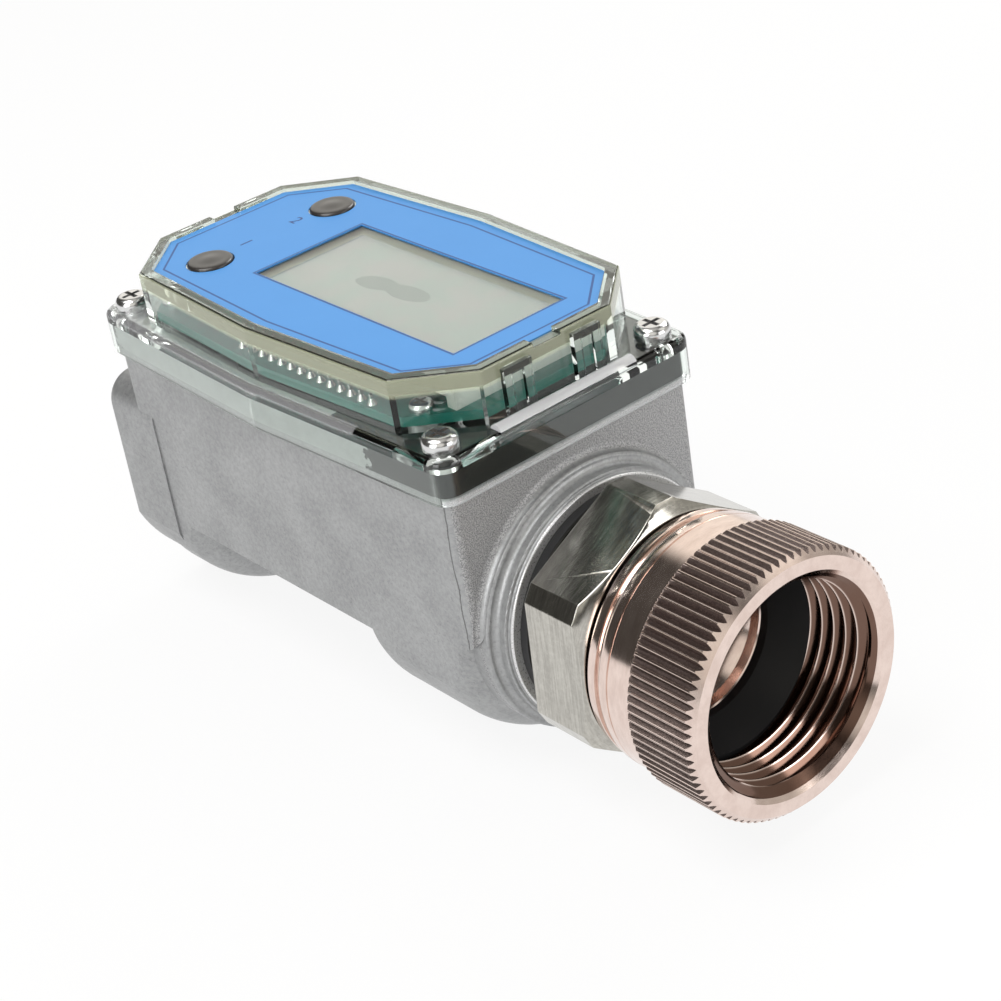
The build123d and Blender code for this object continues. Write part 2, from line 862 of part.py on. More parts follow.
# Battery cells, their holder and contacts
holder_room = cell_length + cell_tip_length + spring_bow + 2 * contact_thickness + 2 * fit_clearance
holder_start_x = lid_x - holder_room / 2
holder_end_x = lid_x + holder_room / 2
holder_width = cell_row + cell_diameter + 4 * fit_clearance
with BuildPart() as cell_holder:
    with BuildSketch(level(tray_floor)):
        Rectangle(holder_room + 2 * holder_wall, holder_width + 2 * holder_wall)
    extrude(amount=holder_height)
    fillet(edges().filter_by(Axis.Z), holder_corner)
    with BuildSketch(level(tray_floor + holder_wall)):
        Rectangle(holder_room, holder_width)
    extrude(amount=holder_height, mode=Mode.SUBTRACT)
cell_holder.part.label = "cell_holder"
export_step(cell_holder.part, "parts/cell_holder.step")

with BuildPart() as cells:
    cell_start_x = holder_end_x - fit_clearance - contact_thickness - cell_tip_length - cell_length
    for side in (-1, 1):
        base = Plane(
            origin=(cell_start_x, side * cell_row / 2, cell_z), x_dir=(0, 1, 0), z_dir=(1, 0, 0)
        )
        with BuildSketch(base):
            Circle(cell_diameter / 2)
        extrude(amount=cell_length)
        with BuildSketch(base.offset(cell_length)):
            Circle(cell_tip_diameter / 2)
        extrude(amount=cell_tip_length)
cells.part.label = "cells"
export_step(cells.part, "parts/cells.step")

with BuildPart() as cell_contacts:
    for side in (-1, 1):
        with Locations(
            (holder_end_x - fit_clearance - contact_thickness / 2, side * cell_row / 2, cell_z)
        ):
            Box(contact_thickness, contact_width, contact_width)
cell_contacts.part.label = "cell_contacts"
export_step(cell_contacts.part, "parts/cell_contacts.step")

with BuildPart() as cell_springs:
    for side in (-1, 1):
        spring_side = Plane(
            origin=(holder_start_x, side * cell_row / 2, cell_z), x_dir=(1, 0, 0), z_dir=(0, -1, 0)
        )
        with BuildSketch(spring_side):
            with BuildLine():
                ThreePointArc(
                    (fit_clearance, contact_width / 2),
                    (spring_bow, 0),
                    (fit_clearance, -contact_width / 2),
                )
                offset(amount=contact_thickness, side=Side.LEFT)
            make_face()
        extrude(amount=contact_width / 2, both=True)
cell_springs.part.label = "cell_springs"
export_step(cell_springs.part, "parts/cell_springs.step")

# Pickup coil over the rotor
coil_foot_z = axis_height + measuring_bore / 2 + coil_floor
with BuildPart() as coil_bobbin:
    with BuildSketch(level(coil_foot_z)):
        Circle(coil_radius)
    extrude(amount=coil_height)
    with BuildSketch(level(coil_foot_z + bobbin_flange)):
        Circle(coil_radius)
        Circle(bobbin_core_radius, mode=Mode.SUBTRACT)
    extrude(amount=coil_height - 2 * bobbin_flange, mode=Mode.SUBTRACT)
coil_bobbin.part.label = "coil_bobbin"
export_step(coil_bobbin.part, "parts/coil_bobbin.step")

with BuildPart() as coil_winding:
    with BuildSketch(level(coil_foot_z + bobbin_flange)):
        Circle(coil_radius - winding_gap)
        Circle(bobbin_core_radius, mode=Mode.SUBTRACT)
    extrude(amount=coil_height - 2 * bobbin_flange)
coil_winding.part.label = "coil_winding"
export_step(coil_winding.part, "parts/coil_winding.step")

# Rotor: a hub with twisted blades, turning on bushes round a fixed shaft
with BuildPart() as rotor:
    hub_start_x = lid_x - rotor_length / 2
    turned(ring_profile(hub_start_x, hub_start_x + rotor_length, bush_radius, rotor_hub_radius))
    blade_start = rotor_hub_radius - blade_root
    blade_end = rotor_tip_radius + rotor_tip_gap
    for blade in range(blade_count):
        turn = 360.0 * blade / blade_count
        for step in range(3):
            station = hub_start_x + blade_end_gap + step * (rotor_length / 2 - blade_end_gap)
            with BuildSketch(across_axis(station)):
                with Locations(Rotation(0, 0, turn + blade_twist * (step - 1) / 2)):
                    with Locations(((blade_start + blade_end) / 2, 0)):
                        Rectangle(blade_end - blade_start, blade_thickness)
        loft()
    with BuildSketch(across_axis(hub_start_x)):
        Circle(rotor_tip_radius)
    extrude(amount=rotor_length, mode=Mode.INTERSECT)
rotor.part.label = "rotor"
export_step(rotor.part, "parts/rotor.step")

with BuildPart() as rotor_bushes:
    for start_x in (hub_start_x, hub_start_x + rotor_length - bush_length):
        turned(
            ring_profile(
                start_x, start_x + bush_length, shaft_diameter / 2 + fit_clearance, bush_radius
            )
        )
rotor_bushes.part.label = "rotor_bushes"
export_step(rotor_bushes.part, "parts/rotor_bushes.step")

with BuildPart() as rotor_shaft:
    shaft_length = rotor_length + 2 * (rotor_end_gap + shaft_seat)
    with BuildSketch(across_axis(lid_x - shaft_length / 2)):
        Circle(shaft_diameter / 2)
    extrude(amount=shaft_length)
rotor_shaft.part.label = "rotor_shaft"
export_step(rotor_shaft.part, "parts/rotor_shaft.step")

# Rotor supports: a ring, straightening vanes and a hub that holds the shaft
for name, end, seat_x in (
    ("inlet_support", -1, chamber_start_x),
    ("outlet_support", 1, chamber_end_x),
):
    hub_x = lid_x + end * (rotor_length / 2 + rotor_end_gap)
    far_x = seat_x + end * support_length
    with BuildPart() as support:
        turned(
            ring_profile(
                seat_x,
                far_x,
                support_bore / 2 - fit_clearance - support_ring_wall,
                support_bore / 2 - fit_clearance,
            )
        )
        turned(
            [
                (hub_x, 0),
                (hub_x, support_hub_radius),
                (far_x - end * support_nose, support_hub_radius),
                (far_x - end * support_tip, support_tip_radius),
                (far_x, 0),
            ]
        )
        vane_start = support_hub_radius - vane_root
        vane_end = support_bore / 2 - fit_clearance - support_ring_wall / 2
        with BuildSketch(across_axis(seat_x)):
            with PolarLocations((vane_start + vane_end) / 2, vane_count, start_angle=45):
                Rectangle(vane_end - vane_start, vane_thickness)
        extrude(amount=end * (support_length - support_nose))
        turned(
            [
                (hub_x - end, 0),
                (hub_x - end, shaft_diameter / 2),
                (hub_x + end * (shaft_seat + fit_clearance), shaft_diameter / 2),
                (hub_x + end * (shaft_seat + fit_clearance), 0),
            ],
            mode=Mode.SUBTRACT,
        )
    support.part.label = name
    export_step(support.part, f"parts/{name}.step")

# Spring rings that keep the supports in the passage
for name, start_x in (
    ("inlet_retaining_ring", chamber_start_x - support_length - ring_thickness),
    ("outlet_retaining_ring", chamber_end_x + support_length),
):
    ring_outer = support_bore / 2 + ring_groove - fit_clearance
    with BuildPart() as retaining_ring:
        with BuildSketch(across_axis(start_x)):
            Circle(ring_outer)
            Circle(ring_outer - ring_width, mode=Mode.SUBTRACT)
            gap_half = math.tan(math.radians(ring_opening / 2)) * 2 * ring_outer
            with BuildLine():
                Polyline(
                    (0, 0), (gap_half, 2 * ring_outer), (-gap_half, 2 * ring_outer), close=True
                )
            make_face(mode=Mode.SUBTRACT)
        extrude(amount=ring_thickness)
    retaining_ring.part.label = name
    export_step(retaining_ring.part, f"parts/{name}.step")

# Sealing ring between casting and hex bushing
with BuildPart() as bushing_seal:
    turned(
        ring_profile(
            outlet_face_x, land_x, pipe_thread_major / 2 + fit_clearance, seal_radius
        )
    )
bushing_seal.part.label = "bushing_seal"
export_step(bushing_seal.part, "parts/bushing_seal.step")

# Hex bushing: a threaded spigot, a round land and a hexagon with broken corners
with BuildPart() as hex_bushing:
    with BuildSketch(across_axis(hex_back_x)):
        RegularPolygon(hex_across_flats / 2, 6, major_radius=False, rotation=hex_turn)
        chamfer(vertices(), hex_corner_flat / math.sqrt(3))
    extrude(amount=hex_length)
    chamfer_foot = hex_across_flats / 2 - hex_chamfer_start
    chamfer_top = hex_across_flats
    chamfer_back = (chamfer_top - chamfer_foot) * math.tan(math.radians(hex_chamfer_angle))
    turned(
        [
            (hex_front_x, chamfer_foot),
            (hex_front_x, chamfer_top),
            (hex_front_x - chamfer_back, chamfer_top),
        ],
        mode=Mode.SUBTRACT,
    )
    turned(
        [
            (bushing_back_x, 0),
            (bushing_back_x, pipe_thread_major / 2 - fit_clearance),
            (land_x, pipe_thread_major / 2 - fit_clearance),
            (land_x, bushing_land_radius),
            (hex_back_x, bushing_land_radius),
            (hex_back_x, 0),
        ]
    )
    turned(
        [
            (bushing_back_x - 1, 0),
            (bushing_back_x - 1, tail_bore / 2),
            (tail_back_x - fit_clearance, tail_bore / 2),
            (tail_back_x - fit_clearance, tail_thread_diameter / 2),
            (hex_front_x + 1, tail_thread_diameter / 2),
            (hex_front_x + 1, 0),
        ],
        mode=Mode.SUBTRACT,
    )
hex_bushing.part.label = "hex_bushing"
export_step(hex_bushing.part, "parts/hex_bushing.step")

# Tailpiece: screwed into the bushing, with a lip that holds the nut
with BuildPart() as tailpiece:
    turned(
        [
            (tail_back_x, tail_bore / 2),
            (tail_front_x, tail_bore / 2),
            (tail_front_x, tail_lip_radius),
            (tail_lip_x, tail_lip_radius),
            (tail_lip_x, tail_neck_radius),
            (hex_front_x, tail_neck_radius),
            (hex_front_x, tail_thread_diameter / 2 - fit_clearance),
            (tail_back_x, tail_thread_diameter / 2 - fit_clearance),
        ]
    )
tailpiece.part.label = "tailpiece"
export_step(tailpiece.part, "parts/tailpiece.step")

# Swivel nut: turned, with two grooves, a straight knurl and a threaded mouth
with BuildPart() as swivel_nut:
    turned(
        [
            (nut_back_x, tail_neck_radius + turning_clearance),
            (nut_back_x, nut_rear_radius - nut_edge_round),
            (nut_back_x + nut_edge_round, nut_rear_radius),
            (nut_back_x + groove_positions[1] + 2 * groove_width, nut_band_radius),
            (knurl_start_x, nut_band_radius),
            (knurl_start_x, nut_root_radius),
            (knurl_end_x, nut_root_radius),
            (knurl_end_x, nut_front_radius),
            (nut_mouth_x - nut_edge_round, nut_front_radius),
            (nut_mouth_x, nut_front_radius - nut_edge_round / 2),
            (nut_mouth_x, nut_mouth_radius),
            (nut_mouth_x - nut_mouth_depth, pipe_thread_minor / 2),
            (relief_end_x, pipe_thread_minor / 2),
            (relief_end_x, nut_relief_radius),
            (nut_back_x + nut_rear_wall, nut_relief_radius),
            (nut_back_x + nut_rear_wall, tail_neck_radius + turning_clearance),
        ]
    )
    for position in groove_positions:
        turned(
            ring_profile(
                nut_back_x + position - groove_width / 2,
                nut_back_x + position + groove_width / 2,
                nut_rear_radius - groove_depth,
                nut_crest_radius,
            ),
            mode=Mode.SUBTRACT,
        )
    with BuildSketch(across_axis(knurl_start_x)):
        Circle(nut_crest_radius)
        with PolarLocations(nut_crest_radius, knurl_count):
            Polygon(
                (knurl_overcut, knurl_groove_width / 2),
                (nut_root_radius - nut_crest_radius, 0),
                (knurl_overcut, -knurl_groove_width / 2),
                align=None,
                mode=Mode.SUBTRACT,
            )
        Circle(nut_root_radius - knurl_skin, mode=Mode.SUBTRACT)
    extrude(amount=knurl_length)
swivel_nut.part.label = "swivel_nut"
export_step(swivel_nut.part, "parts/swivel_nut.step")

# Hose washer: a rubber ring with a cup that lines the nut behind its thread
with BuildPart() as hose_washer:
    washer_x = tail_front_x + 2 * fit_clearance
    washer_radius = nut_relief_radius - fit_clearance
    turned(
        [
            (washer_x, tail_bore / 2),
            (washer_x + washer_thickness, tail_bore / 2),
            (relief_end_x - fit_clearance, washer_radius - washer_cup_wall),
            (relief_end_x - fit_clearance, washer_radius),
            (washer_x, washer_radius),
        ]
    )
hose_washer.part.label = "hose_washer"
export_step(hose_washer.part, "parts/hose_washer.step")
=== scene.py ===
# %% [markdown]
# A flow meter for one inch pipe: a cast aluminium body with a small display
# under a clear cover, a nickel plated hexagon on its outlet and a rose gold
# swivel nut. The rigid solids come from the frame. This lesson gives them
# their finishes, and models by hand what a plain solid lacks: the nut with its
# knurl and its screw thread, the hexagon's crisp chamfers, the print.

import math

import bmesh
import bpy
from mathutils import Matrix, Vector


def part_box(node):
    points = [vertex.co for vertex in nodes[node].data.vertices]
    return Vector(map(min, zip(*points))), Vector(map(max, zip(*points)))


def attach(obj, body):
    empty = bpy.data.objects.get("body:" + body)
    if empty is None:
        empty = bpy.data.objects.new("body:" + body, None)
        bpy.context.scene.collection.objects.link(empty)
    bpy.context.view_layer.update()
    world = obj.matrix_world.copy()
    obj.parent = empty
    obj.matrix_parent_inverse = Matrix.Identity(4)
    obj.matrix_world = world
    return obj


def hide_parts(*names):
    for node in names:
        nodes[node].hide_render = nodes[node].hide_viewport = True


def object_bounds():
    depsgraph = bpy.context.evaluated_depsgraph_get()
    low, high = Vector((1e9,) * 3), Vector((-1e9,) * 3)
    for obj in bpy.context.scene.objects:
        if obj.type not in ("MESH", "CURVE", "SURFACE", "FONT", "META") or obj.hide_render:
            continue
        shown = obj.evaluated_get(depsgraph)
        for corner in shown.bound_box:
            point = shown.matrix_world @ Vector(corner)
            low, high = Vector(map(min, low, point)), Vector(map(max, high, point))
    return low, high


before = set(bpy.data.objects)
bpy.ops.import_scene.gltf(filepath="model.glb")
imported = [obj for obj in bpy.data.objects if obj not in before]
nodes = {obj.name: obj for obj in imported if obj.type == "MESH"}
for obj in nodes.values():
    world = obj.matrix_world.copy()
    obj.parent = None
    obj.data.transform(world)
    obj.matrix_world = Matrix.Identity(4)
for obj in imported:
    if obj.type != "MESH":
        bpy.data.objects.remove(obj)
scene = bpy.context.scene
cad_box = [list(corner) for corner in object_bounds()]
MM = 0.001
print("solid model", [[round(value / MM, 1) for value in corner] for corner in cad_box])

# %% [markdown]
# The meter's own landmarks are read from the solids, so the pieces of this
# lesson follow them: the flow axis from the shaft, the nut's two ends, and the
# middle of the lid, from which the camera is placed. The camera and the lamps
# are placed by azimuth and elevation, so a helper turns those into a vector.
# Azimuth 0 is the near side, and 90 is the side of the nut's mouth.

# %% Landmarks
shaft_low, shaft_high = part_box("rotor_shaft")
nut_low, nut_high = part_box("swivel_nut")
body_low, body_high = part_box("meter_body")
tail_low, tail_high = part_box("tailpiece")
label_low, label_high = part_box("face_label")
cover_low, cover_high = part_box("clear_cover")
AXIS_Z = (shaft_low.z + shaft_high.z) / 2
LID_X = (cover_low.x + cover_high.x) / 2
WINDOW_RISE = 8.8 * MM
LID_Z = cover_high.z - WINDOW_RISE
COVER_OVERHANG = 1.5 * MM
END_WALL_X = cover_high.x - COVER_OVERHANG
NUT_BACK, NUT_MOUTH = nut_low.x, nut_high.x
print("flow axis at", round(AXIS_Z / MM, 2), "nut from", round(NUT_BACK / MM, 2))


def toward(azimuth, elevation):
    """The unit vector that points to an azimuth and an elevation, in degrees."""
    azimuth, elevation = math.radians(azimuth), math.radians(elevation)
    return Vector(
        (
            math.sin(azimuth) * math.cos(elevation),
            -math.cos(azimuth) * math.cos(elevation),
            math.sin(elevation),
        )
    )


# %% [markdown]
# The picture is a close view with a fairly long lens, tilted a little. The
# camera's three axes are written as vectors: where it looks back from, its
# right and its up. A roll turns right and up about the line of sight.

# %% Camera
CAMERA_AZIMUTH = 54.778
CAMERA_ELEVATION = 29.282
CAMERA_ROLL = math.radians(-9.63)
CAMERA_DISTANCE = 384.25 * MM
CAMERA_ASIDE = -18.853 * MM
CAMERA_ABOVE = 28.417 * MM
SENSOR_WIDTH = 36.0
FOCAL_PIXELS = 2448.233
PICTURE_WIDTH = 1001
NEAREST_SEEN = 10 * MM

back = toward(CAMERA_AZIMUTH, CAMERA_ELEVATION)
level_right = Vector((0, 0, 1)).cross(back).normalized()
level_up = back.cross(level_right)
right = math.cos(CAMERA_ROLL) * level_right + math.sin(CAMERA_ROLL) * level_up
up = -math.sin(CAMERA_ROLL) * level_right + math.cos(CAMERA_ROLL) * level_up
lid_middle = Vector((LID_X, 0, LID_Z))

camera_data = bpy.data.cameras.new("camera")
camera_data.sensor_width = SENSOR_WIDTH
camera_data.lens = FOCAL_PIXELS / PICTURE_WIDTH * SENSOR_WIDTH
camera_data.clip_start = NEAREST_SEEN
camera = bpy.data.objects.new("camera", camera_data)
scene.collection.objects.link(camera)
turn = Matrix((right, up, back)).transposed().to_4x4()
eye = lid_middle + CAMERA_DISTANCE * back - CAMERA_ASIDE * right - CAMERA_ABOVE * up
camera.matrix_world = Matrix.Translation(eye) @ turn
scene.camera = camera
print("camera at", [round(value, 3) for value in eye], "lens", round(camera_data.lens, 1))

# %% [markdown]
# Shader maths reads best as plain sums. A small class wraps the output of a
# node, and its operators add the Math nodes that they stand for. One method,
# node, makes any other node.

# %% Shader expressions
class Wire:
    """The output of a node. Sums with it add Math nodes to its tree."""

    def __init__(self, finish, socket):
        self.finish = finish
        self.socket = socket

    def sum(self, operation, first, second, clamp=False):
        return self.finish.node(
            "Math", {"operation": operation, "use_clamp": clamp}, {0: first, 1: second}
        )

    def __add__(self, other):
        return self.sum("ADD", self, other)

    def __radd__(self, other):
        return self.sum("ADD", other, self)

    def __sub__(self, other):
        return self.sum("SUBTRACT", self, other)

    def __rsub__(self, other):
        return self.sum("SUBTRACT", other, self)

    def __mul__(self, other):
        return self.sum("MULTIPLY", self, other)

    def __rmul__(self, other):
        return self.sum("MULTIPLY", other, self)

    def __truediv__(self, other):
        return self.sum("DIVIDE", self, other)

    def __pow__(self, other):
        return self.sum("POWER", self, other)

    def above(self, other):
        return self.sum("GREATER_THAN", self, other)

    def below(self, other):
        return self.sum("LESS_THAN", self, other)

    def most(self, other):
        return self.sum("MAXIMUM", self, other)

    def size(self):
        return self.sum("ABSOLUTE", self, 0.0)

    def clamped(self):
        return self.sum("ADD", self, 0.0, clamp=True)

    def ramp(self, low, high, to_low=0.0, to_high=1.0):
        """Rises smoothly from to_low to to_high as this goes from low to high."""
        return self.finish.node(
            "MapRange",
            {"interpolation_type": "SMOOTHSTEP"},
            {"Value": self, "From Min": low, "From Max": high, "To Min": to_low, "To Max": to_high},
            "Result",
        )


class Tree:
    """A node tree that builds its nodes from plain values and wires."""

    def __init__(self, tree):
        self.tree = tree

    def plug(self, target, value):
        """Links a wire to a socket, or sets the socket's own value."""
        if isinstance(value, Wire):
            self.tree.links.new(value.socket, target)
        elif isinstance(value, (tuple, list)) and target.type == "RGBA":
            target.default_value = (*value[:3], 1.0)
        else:
            target.default_value = value

    def node(self, kind, settings=None, inputs=None, output=0):
        """Makes a node, and returns one of its outputs, by index or by name."""
        node = self.tree.nodes.new("ShaderNode" + kind)
        for name, value in (settings or {}).items():
            setattr(node, name, value)
        for name, value in (inputs or {}).items():
            self.plug(node.inputs[name], value)
        return Wire(self, node.outputs[output])

    def ray(self, kind):
        """1 for rays of a kind such as Is Camera Ray, else 0."""
        return self.node("LightPath", output=kind)

    def shade(self, amount, first, second):
        """A colour between first and second."""
        node = self.tree.nodes.new("ShaderNodeMix")
        node.data_type = "RGBA"
        self.plug(node.inputs["Factor"], amount)
        colours = [socket for socket in node.inputs if socket.type == "RGBA"]
        for socket, colour in zip(colours, (first, second)):
            self.plug(socket, colour)
        result = next(socket for socket in node.outputs if socket.type == "RGBA")
        return Wire(self, result)


class Finish(Tree):
    """A material: a Principled shader, and the nodes that feed it."""

    def __init__(self, name, **constants):
        self.material = bpy.data.materials.new(name)
        self.material.use_nodes = True
        super().__init__(self.material.node_tree)
        self.shader = self.tree.nodes["Principled BSDF"]
        self.surface = self.tree.nodes["Material Output"].inputs["Surface"]
        for socket, value in constants.items():
            self.set(socket, value)

    def set(self, socket, value, shader=None):
        """Sets a constant, or links a wire, on a socket such as base_color."""
        title = socket.replace("_", " ").title().replace("Ior", "IOR")
        self.plug((shader or self.shader).inputs[title], value)

    def add_shader(self, **constants):
        """A second Principled shader, for mix_shader."""
        shader = self.tree.nodes.new("ShaderNodeBsdfPrincipled")
        for socket, value in constants.items():
            self.set(socket, value, shader)
        return Wire(self, shader.outputs[0])

    def mix_shader(self, amount, second):
        """Shows second instead of the first shader, by an amount from 0 to 1."""
        first = Wire(self, self.shader.outputs[0])
        mixed = self.node("MixShader", {}, {0: amount, 1: first, 2: second})
        self.tree.links.new(mixed.socket, self.surface)

    def place(self, middle=(0, 0, 0), turned=(0, 0, 0), stretch=(1, 1, 1)):
        """Object coordinates, measured from middle, turned and stretched."""
        here = self.node("TexCoord", output="Object")
        centred = self.node("VectorMath", {"operation": "SUBTRACT"}, {0: here, 1: middle})
        return self.node(
            "Mapping", {}, {"Vector": centred, "Rotation": turned, "Scale": stretch}
        )

    def along(self, place):
        """The x, y and z of a place."""
        parts = self.tree.nodes.new("ShaderNodeSeparateXYZ")
        self.tree.links.new(place.socket, parts.inputs[0])
        return [Wire(self, parts.outputs[index]) for index in range(3)]

    def grain(self, size, place=None, detail=4.0, roughness=0.55):
        """Noise whose grains are about size metres across."""
        return self.node(
            "TexNoise",
            {},
            {
                "Vector": place or self.place(),
                "Scale": 1.0 / size,
                "Detail": detail,
                "Roughness": roughness,
            },
        )

    def bump(self, height, depth, strength=1.0):
        """Raises the surface by height times depth metres."""
        return self.node(
            "Bump", {}, {"Height": height, "Distance": depth, "Strength": strength}
        )


def dress(finish, *names):
    """Gives CAD nodes a finish."""
    for name in names:
        for slot in nodes[name].material_slots:
            slot.material = finish.material


# %% [markdown]
# The meter stands in a white studio. The camera sees a white floor and a white
# world. The floor is also white in reflections and through the clear cover,
# and the world shows light grey through it. But metal shows its form only
# where it also finds something dark. So to all other rays the world is nearly
# black, with five soft patches: a large window on the inlet's far side, one
# overhead, one beside the camera, and one low and one high beyond the nut.

# %% Floor
FLOOR_SIDE = 6.0
FLOOR_DEPTH = 0.3 * MM
# how much of the floor's look is paper that takes shadows; the rest glows white
SHADOW_SHARE = 0.12

floor_mesh = bmesh.new()
bmesh.ops.create_grid(floor_mesh, x_segments=1, y_segments=1, size=FLOOR_SIDE / 2)
floor_data = bpy.data.meshes.new("floor")
floor_mesh.to_mesh(floor_data)
floor_mesh.free()
floor = bpy.data.objects.new("floor", floor_data)
floor.location.z = cad_box[0][2] - FLOOR_DEPTH
scene.collection.objects.link(floor)

paper = Finish("white_paper", base_color=(0.8, 0.8, 0.8), roughness=1.0, specular_ior_level=0.0)
glow = paper.node("Emission", {}, {"Color": (1, 1, 1), "Strength": 1.0})
looked_at = paper.ray("Is Camera Ray").most(paper.ray("Is Transmission Ray"))
looked_at = looked_at.most(paper.ray("Is Glossy Ray"))
paper.mix_shader(looked_at * (1.0 - SHADOW_SHARE), glow)
floor_data.materials.append(paper.material)

# %% World
DARK = 0.07
WHITE_THROUGH_PLASTIC = 0.6
WARM_WHITE = (1.0, 0.97, 0.9)
SKY_PATCHES = {
    # name: (direction, cosine where it fades out, cosine where it is full, strength)
    "large_window": ((-0.66, 0.60, 0.45), 0.80, 0.93, 1.05),
    "overhead": ((0.0, -0.1, 1.0), 0.80, 0.97, 0.5),
    "low_beyond_nut": ((0.55, 0.75, 0.05), 0.75, 0.95, 0.5),
    "beside_camera": ((0.66, -0.55, 0.50), 0.86, 0.96, 0.8),
    "high_beyond_nut": ((0.47, 0.50, 0.69), 0.93, 0.98, 0.9),
}
world = bpy.data.worlds.new("studio")
scene.world = world
world.use_nodes = True
sky = Tree(world.node_tree)
looking = sky.node("TexCoord", output="Generated")
strength = DARK
for direction, fade, full, power in SKY_PATCHES.values():
    facing = sky.node(
        "VectorMath",
        {"operation": "DOT_PRODUCT"},
        {0: looking, 1: tuple(Vector(direction).normalized())},
        "Value",
    )
    strength = strength + facing.ramp(fade, full) * power
white = sky.ray("Is Camera Ray").most(sky.ray("Is Transmission Ray") * WHITE_THROUGH_PLASTIC)
dome = sky.tree.nodes["Background"]
sky.plug(dome.inputs["Color"], sky.shade(white, WARM_WHITE, (1, 1, 1)))
sky.plug(dome.inputs["Strength"], strength.most(white))

scene.view_settings.view_transform = "Standard"

# %% Soft boxes
LIGHT_SPOTS = {
    # name: (azimuth, elevation, distance, width, height, power), in degrees, metres and watts
    "key_box": (-10.0, 66.0, 0.75, 0.5, 0.4, 3.4),
    "side_box": (10.0, 20.0, 0.9, 0.5, 0.5, 3.8),
    "back_box": (190.0, 35.0, 0.9, 0.5, 0.4, 3.0),
    "end_box": (108.0, 15.0, 0.9, 0.5, 0.4, 2.3),
}
for name, (azimuth, elevation, distance, width, height, power) in LIGHT_SPOTS.items():
    lamp_data = bpy.data.lights.new(name, "AREA")
    lamp_data.shape = "RECTANGLE"
    lamp_data.size = width
    lamp_data.size_y = height
    lamp_data.energy = power
    lamp = bpy.data.objects.new(name, lamp_data)
    scene.collection.objects.link(lamp)
    away = toward(azimuth, elevation)
    lamp.location = Vector((0, 0, AXIS_Z)) + away * distance
    lamp.rotation_mode = "QUATERNION"
    lamp.rotation_quaternion = away.to_track_quat("Z", "Y")
print("soft boxes", ", ".join(LIGHT_SPOTS))

# %% [markdown]
# Many finishes here change by place: the end of the casting is coarser, the
# print has a border. Two measures serve them all: the distance from the flow
# axis, and how far a place lies outside an eight-sided outline round the lid's
# middle, which is negative inside it.

# %% Measures of place
def from_axis(finish):
    """Distance from the flow axis."""
    y, z = finish.along(finish.place((0, 0, AXIS_Z)))[1:]
    return (y * y + z * z) ** 0.5


def outside_lid_outline(x, y, corners):
    """How far (x, y) lies outside a symmetric outline, given one quarter's corners."""
    x, y = x.size(), y.size()
    outside = x - corners[0][0]
    for (x1, y1), (x2, y2) in zip(corners, corners[1:]):
        normal = Vector((y2 - y1, x1 - x2)).normalized()
        outside = outside.most(x * normal.x + y * normal.y - (x1 * normal.x + y1 * normal.y))
    return outside


def band(value, middle, half_width, edge=0.05 * MM):
    """1 within half_width of middle, with soft edges."""
    return (value - middle).size().ramp(half_width, half_width + edge, 1.0, 0.0)


# %% [markdown]
# The body is cast aluminium, tumbled after casting: a fine pebbled skin with
# faint cloudy patches, and a coarser skin on the end round the outlet, whose
# darker tones there are painted shade. Noises of several sizes raise the skin,
# and a slow one clouds its colour. The outlet's ring is turned bright, and the
# mould's parting line runs down the corner.

# %% Cast aluminium
COLLAR_FACE_X = body_high.x
END_RINGS_RADIUS = 19.6 * MM
PARTING_X = 26.05 * MM
PARTING_HALF_WIDTH = 0.07 * MM
PARTING_STRAYS = 0.9 * MM
NEAR_CORNER_Y = -20 * MM
CAST_RELIEF = 0.07 * MM
PIT_TONE = (0.12, 0.12, 0.12)
MACHINED_TONE = (0.68, 0.68, 0.68)

cast = Finish("cast_aluminium", metallic=0.7)
cast_x, cast_y, cast_z = cast.along(cast.place())
cloud = cast.grain(11 * MM, detail=5.0).ramp(0.32, 0.68)
pebble = cast.grain(0.3 * MM, detail=3.0, roughness=0.6)
pores = cast.grain(0.8 * MM, detail=5.0, roughness=0.7)
pits = cast.grain(0.45 * MM, detail=2.0, roughness=0.5).ramp(0.3, 0.42, 1.0, 0.0)
shaded_end_skin = band(cast_x, END_WALL_X, 0.35 * MM) * from_axis(cast).ramp(
    END_RINGS_RADIUS, END_RINGS_RADIUS + 0.6 * MM
)
machined = cast_x.ramp(COLLAR_FACE_X - 0.5 * MM, COLLAR_FACE_X - 0.3 * MM)
wobble = cast.grain(6 * MM, detail=4.0) * PARTING_STRAYS
parting = band(cast_x + wobble, PARTING_X, PARTING_HALF_WIDTH) * cast_z.ramp(AXIS_Z, AXIS_Z + MM)
seam = (parting * cast_y.ramp(NEAR_CORNER_Y - MM, NEAR_CORNER_Y, 1.0, 0.0)).clamped()
tone = (cloud * 0.45 + pores.ramp(0.35, 0.65) * 0.55).clamped()
skin = cast.shade(tone, (0.29, 0.294, 0.298), (0.41, 0.415, 0.418))
end_grain = cast.grain(0.2 * MM, detail=2.0)
# painted shade: the coarse skin on the end reaches darker tones than the sides
rough_shaded_end = cast.shade(end_grain.ramp(0.35, 0.65), (0.22, 0.22, 0.225), (0.52, 0.52, 0.525))
skin = cast.shade(shaded_end_skin * 0.85, skin, rough_shaded_end)
skin = cast.shade((seam * 0.8 + pits * 0.25).clamped(), skin, PIT_TONE)
skin = cast.shade(machined, skin, MACHINED_TONE)
cast.set("base_color", skin)
cast.set("roughness", 0.36 + 0.16 * pebble + 0.14 * shaded_end_skin - 0.15 * machined)
cast_height = (pebble * 0.5 + end_grain * shaded_end_skin + pores * 0.6) * (1.0 - machined)
cast.set("normal", cast.bump(cast_height - seam, CAST_RELIEF, 0.7))
dress(cast, "meter_body")
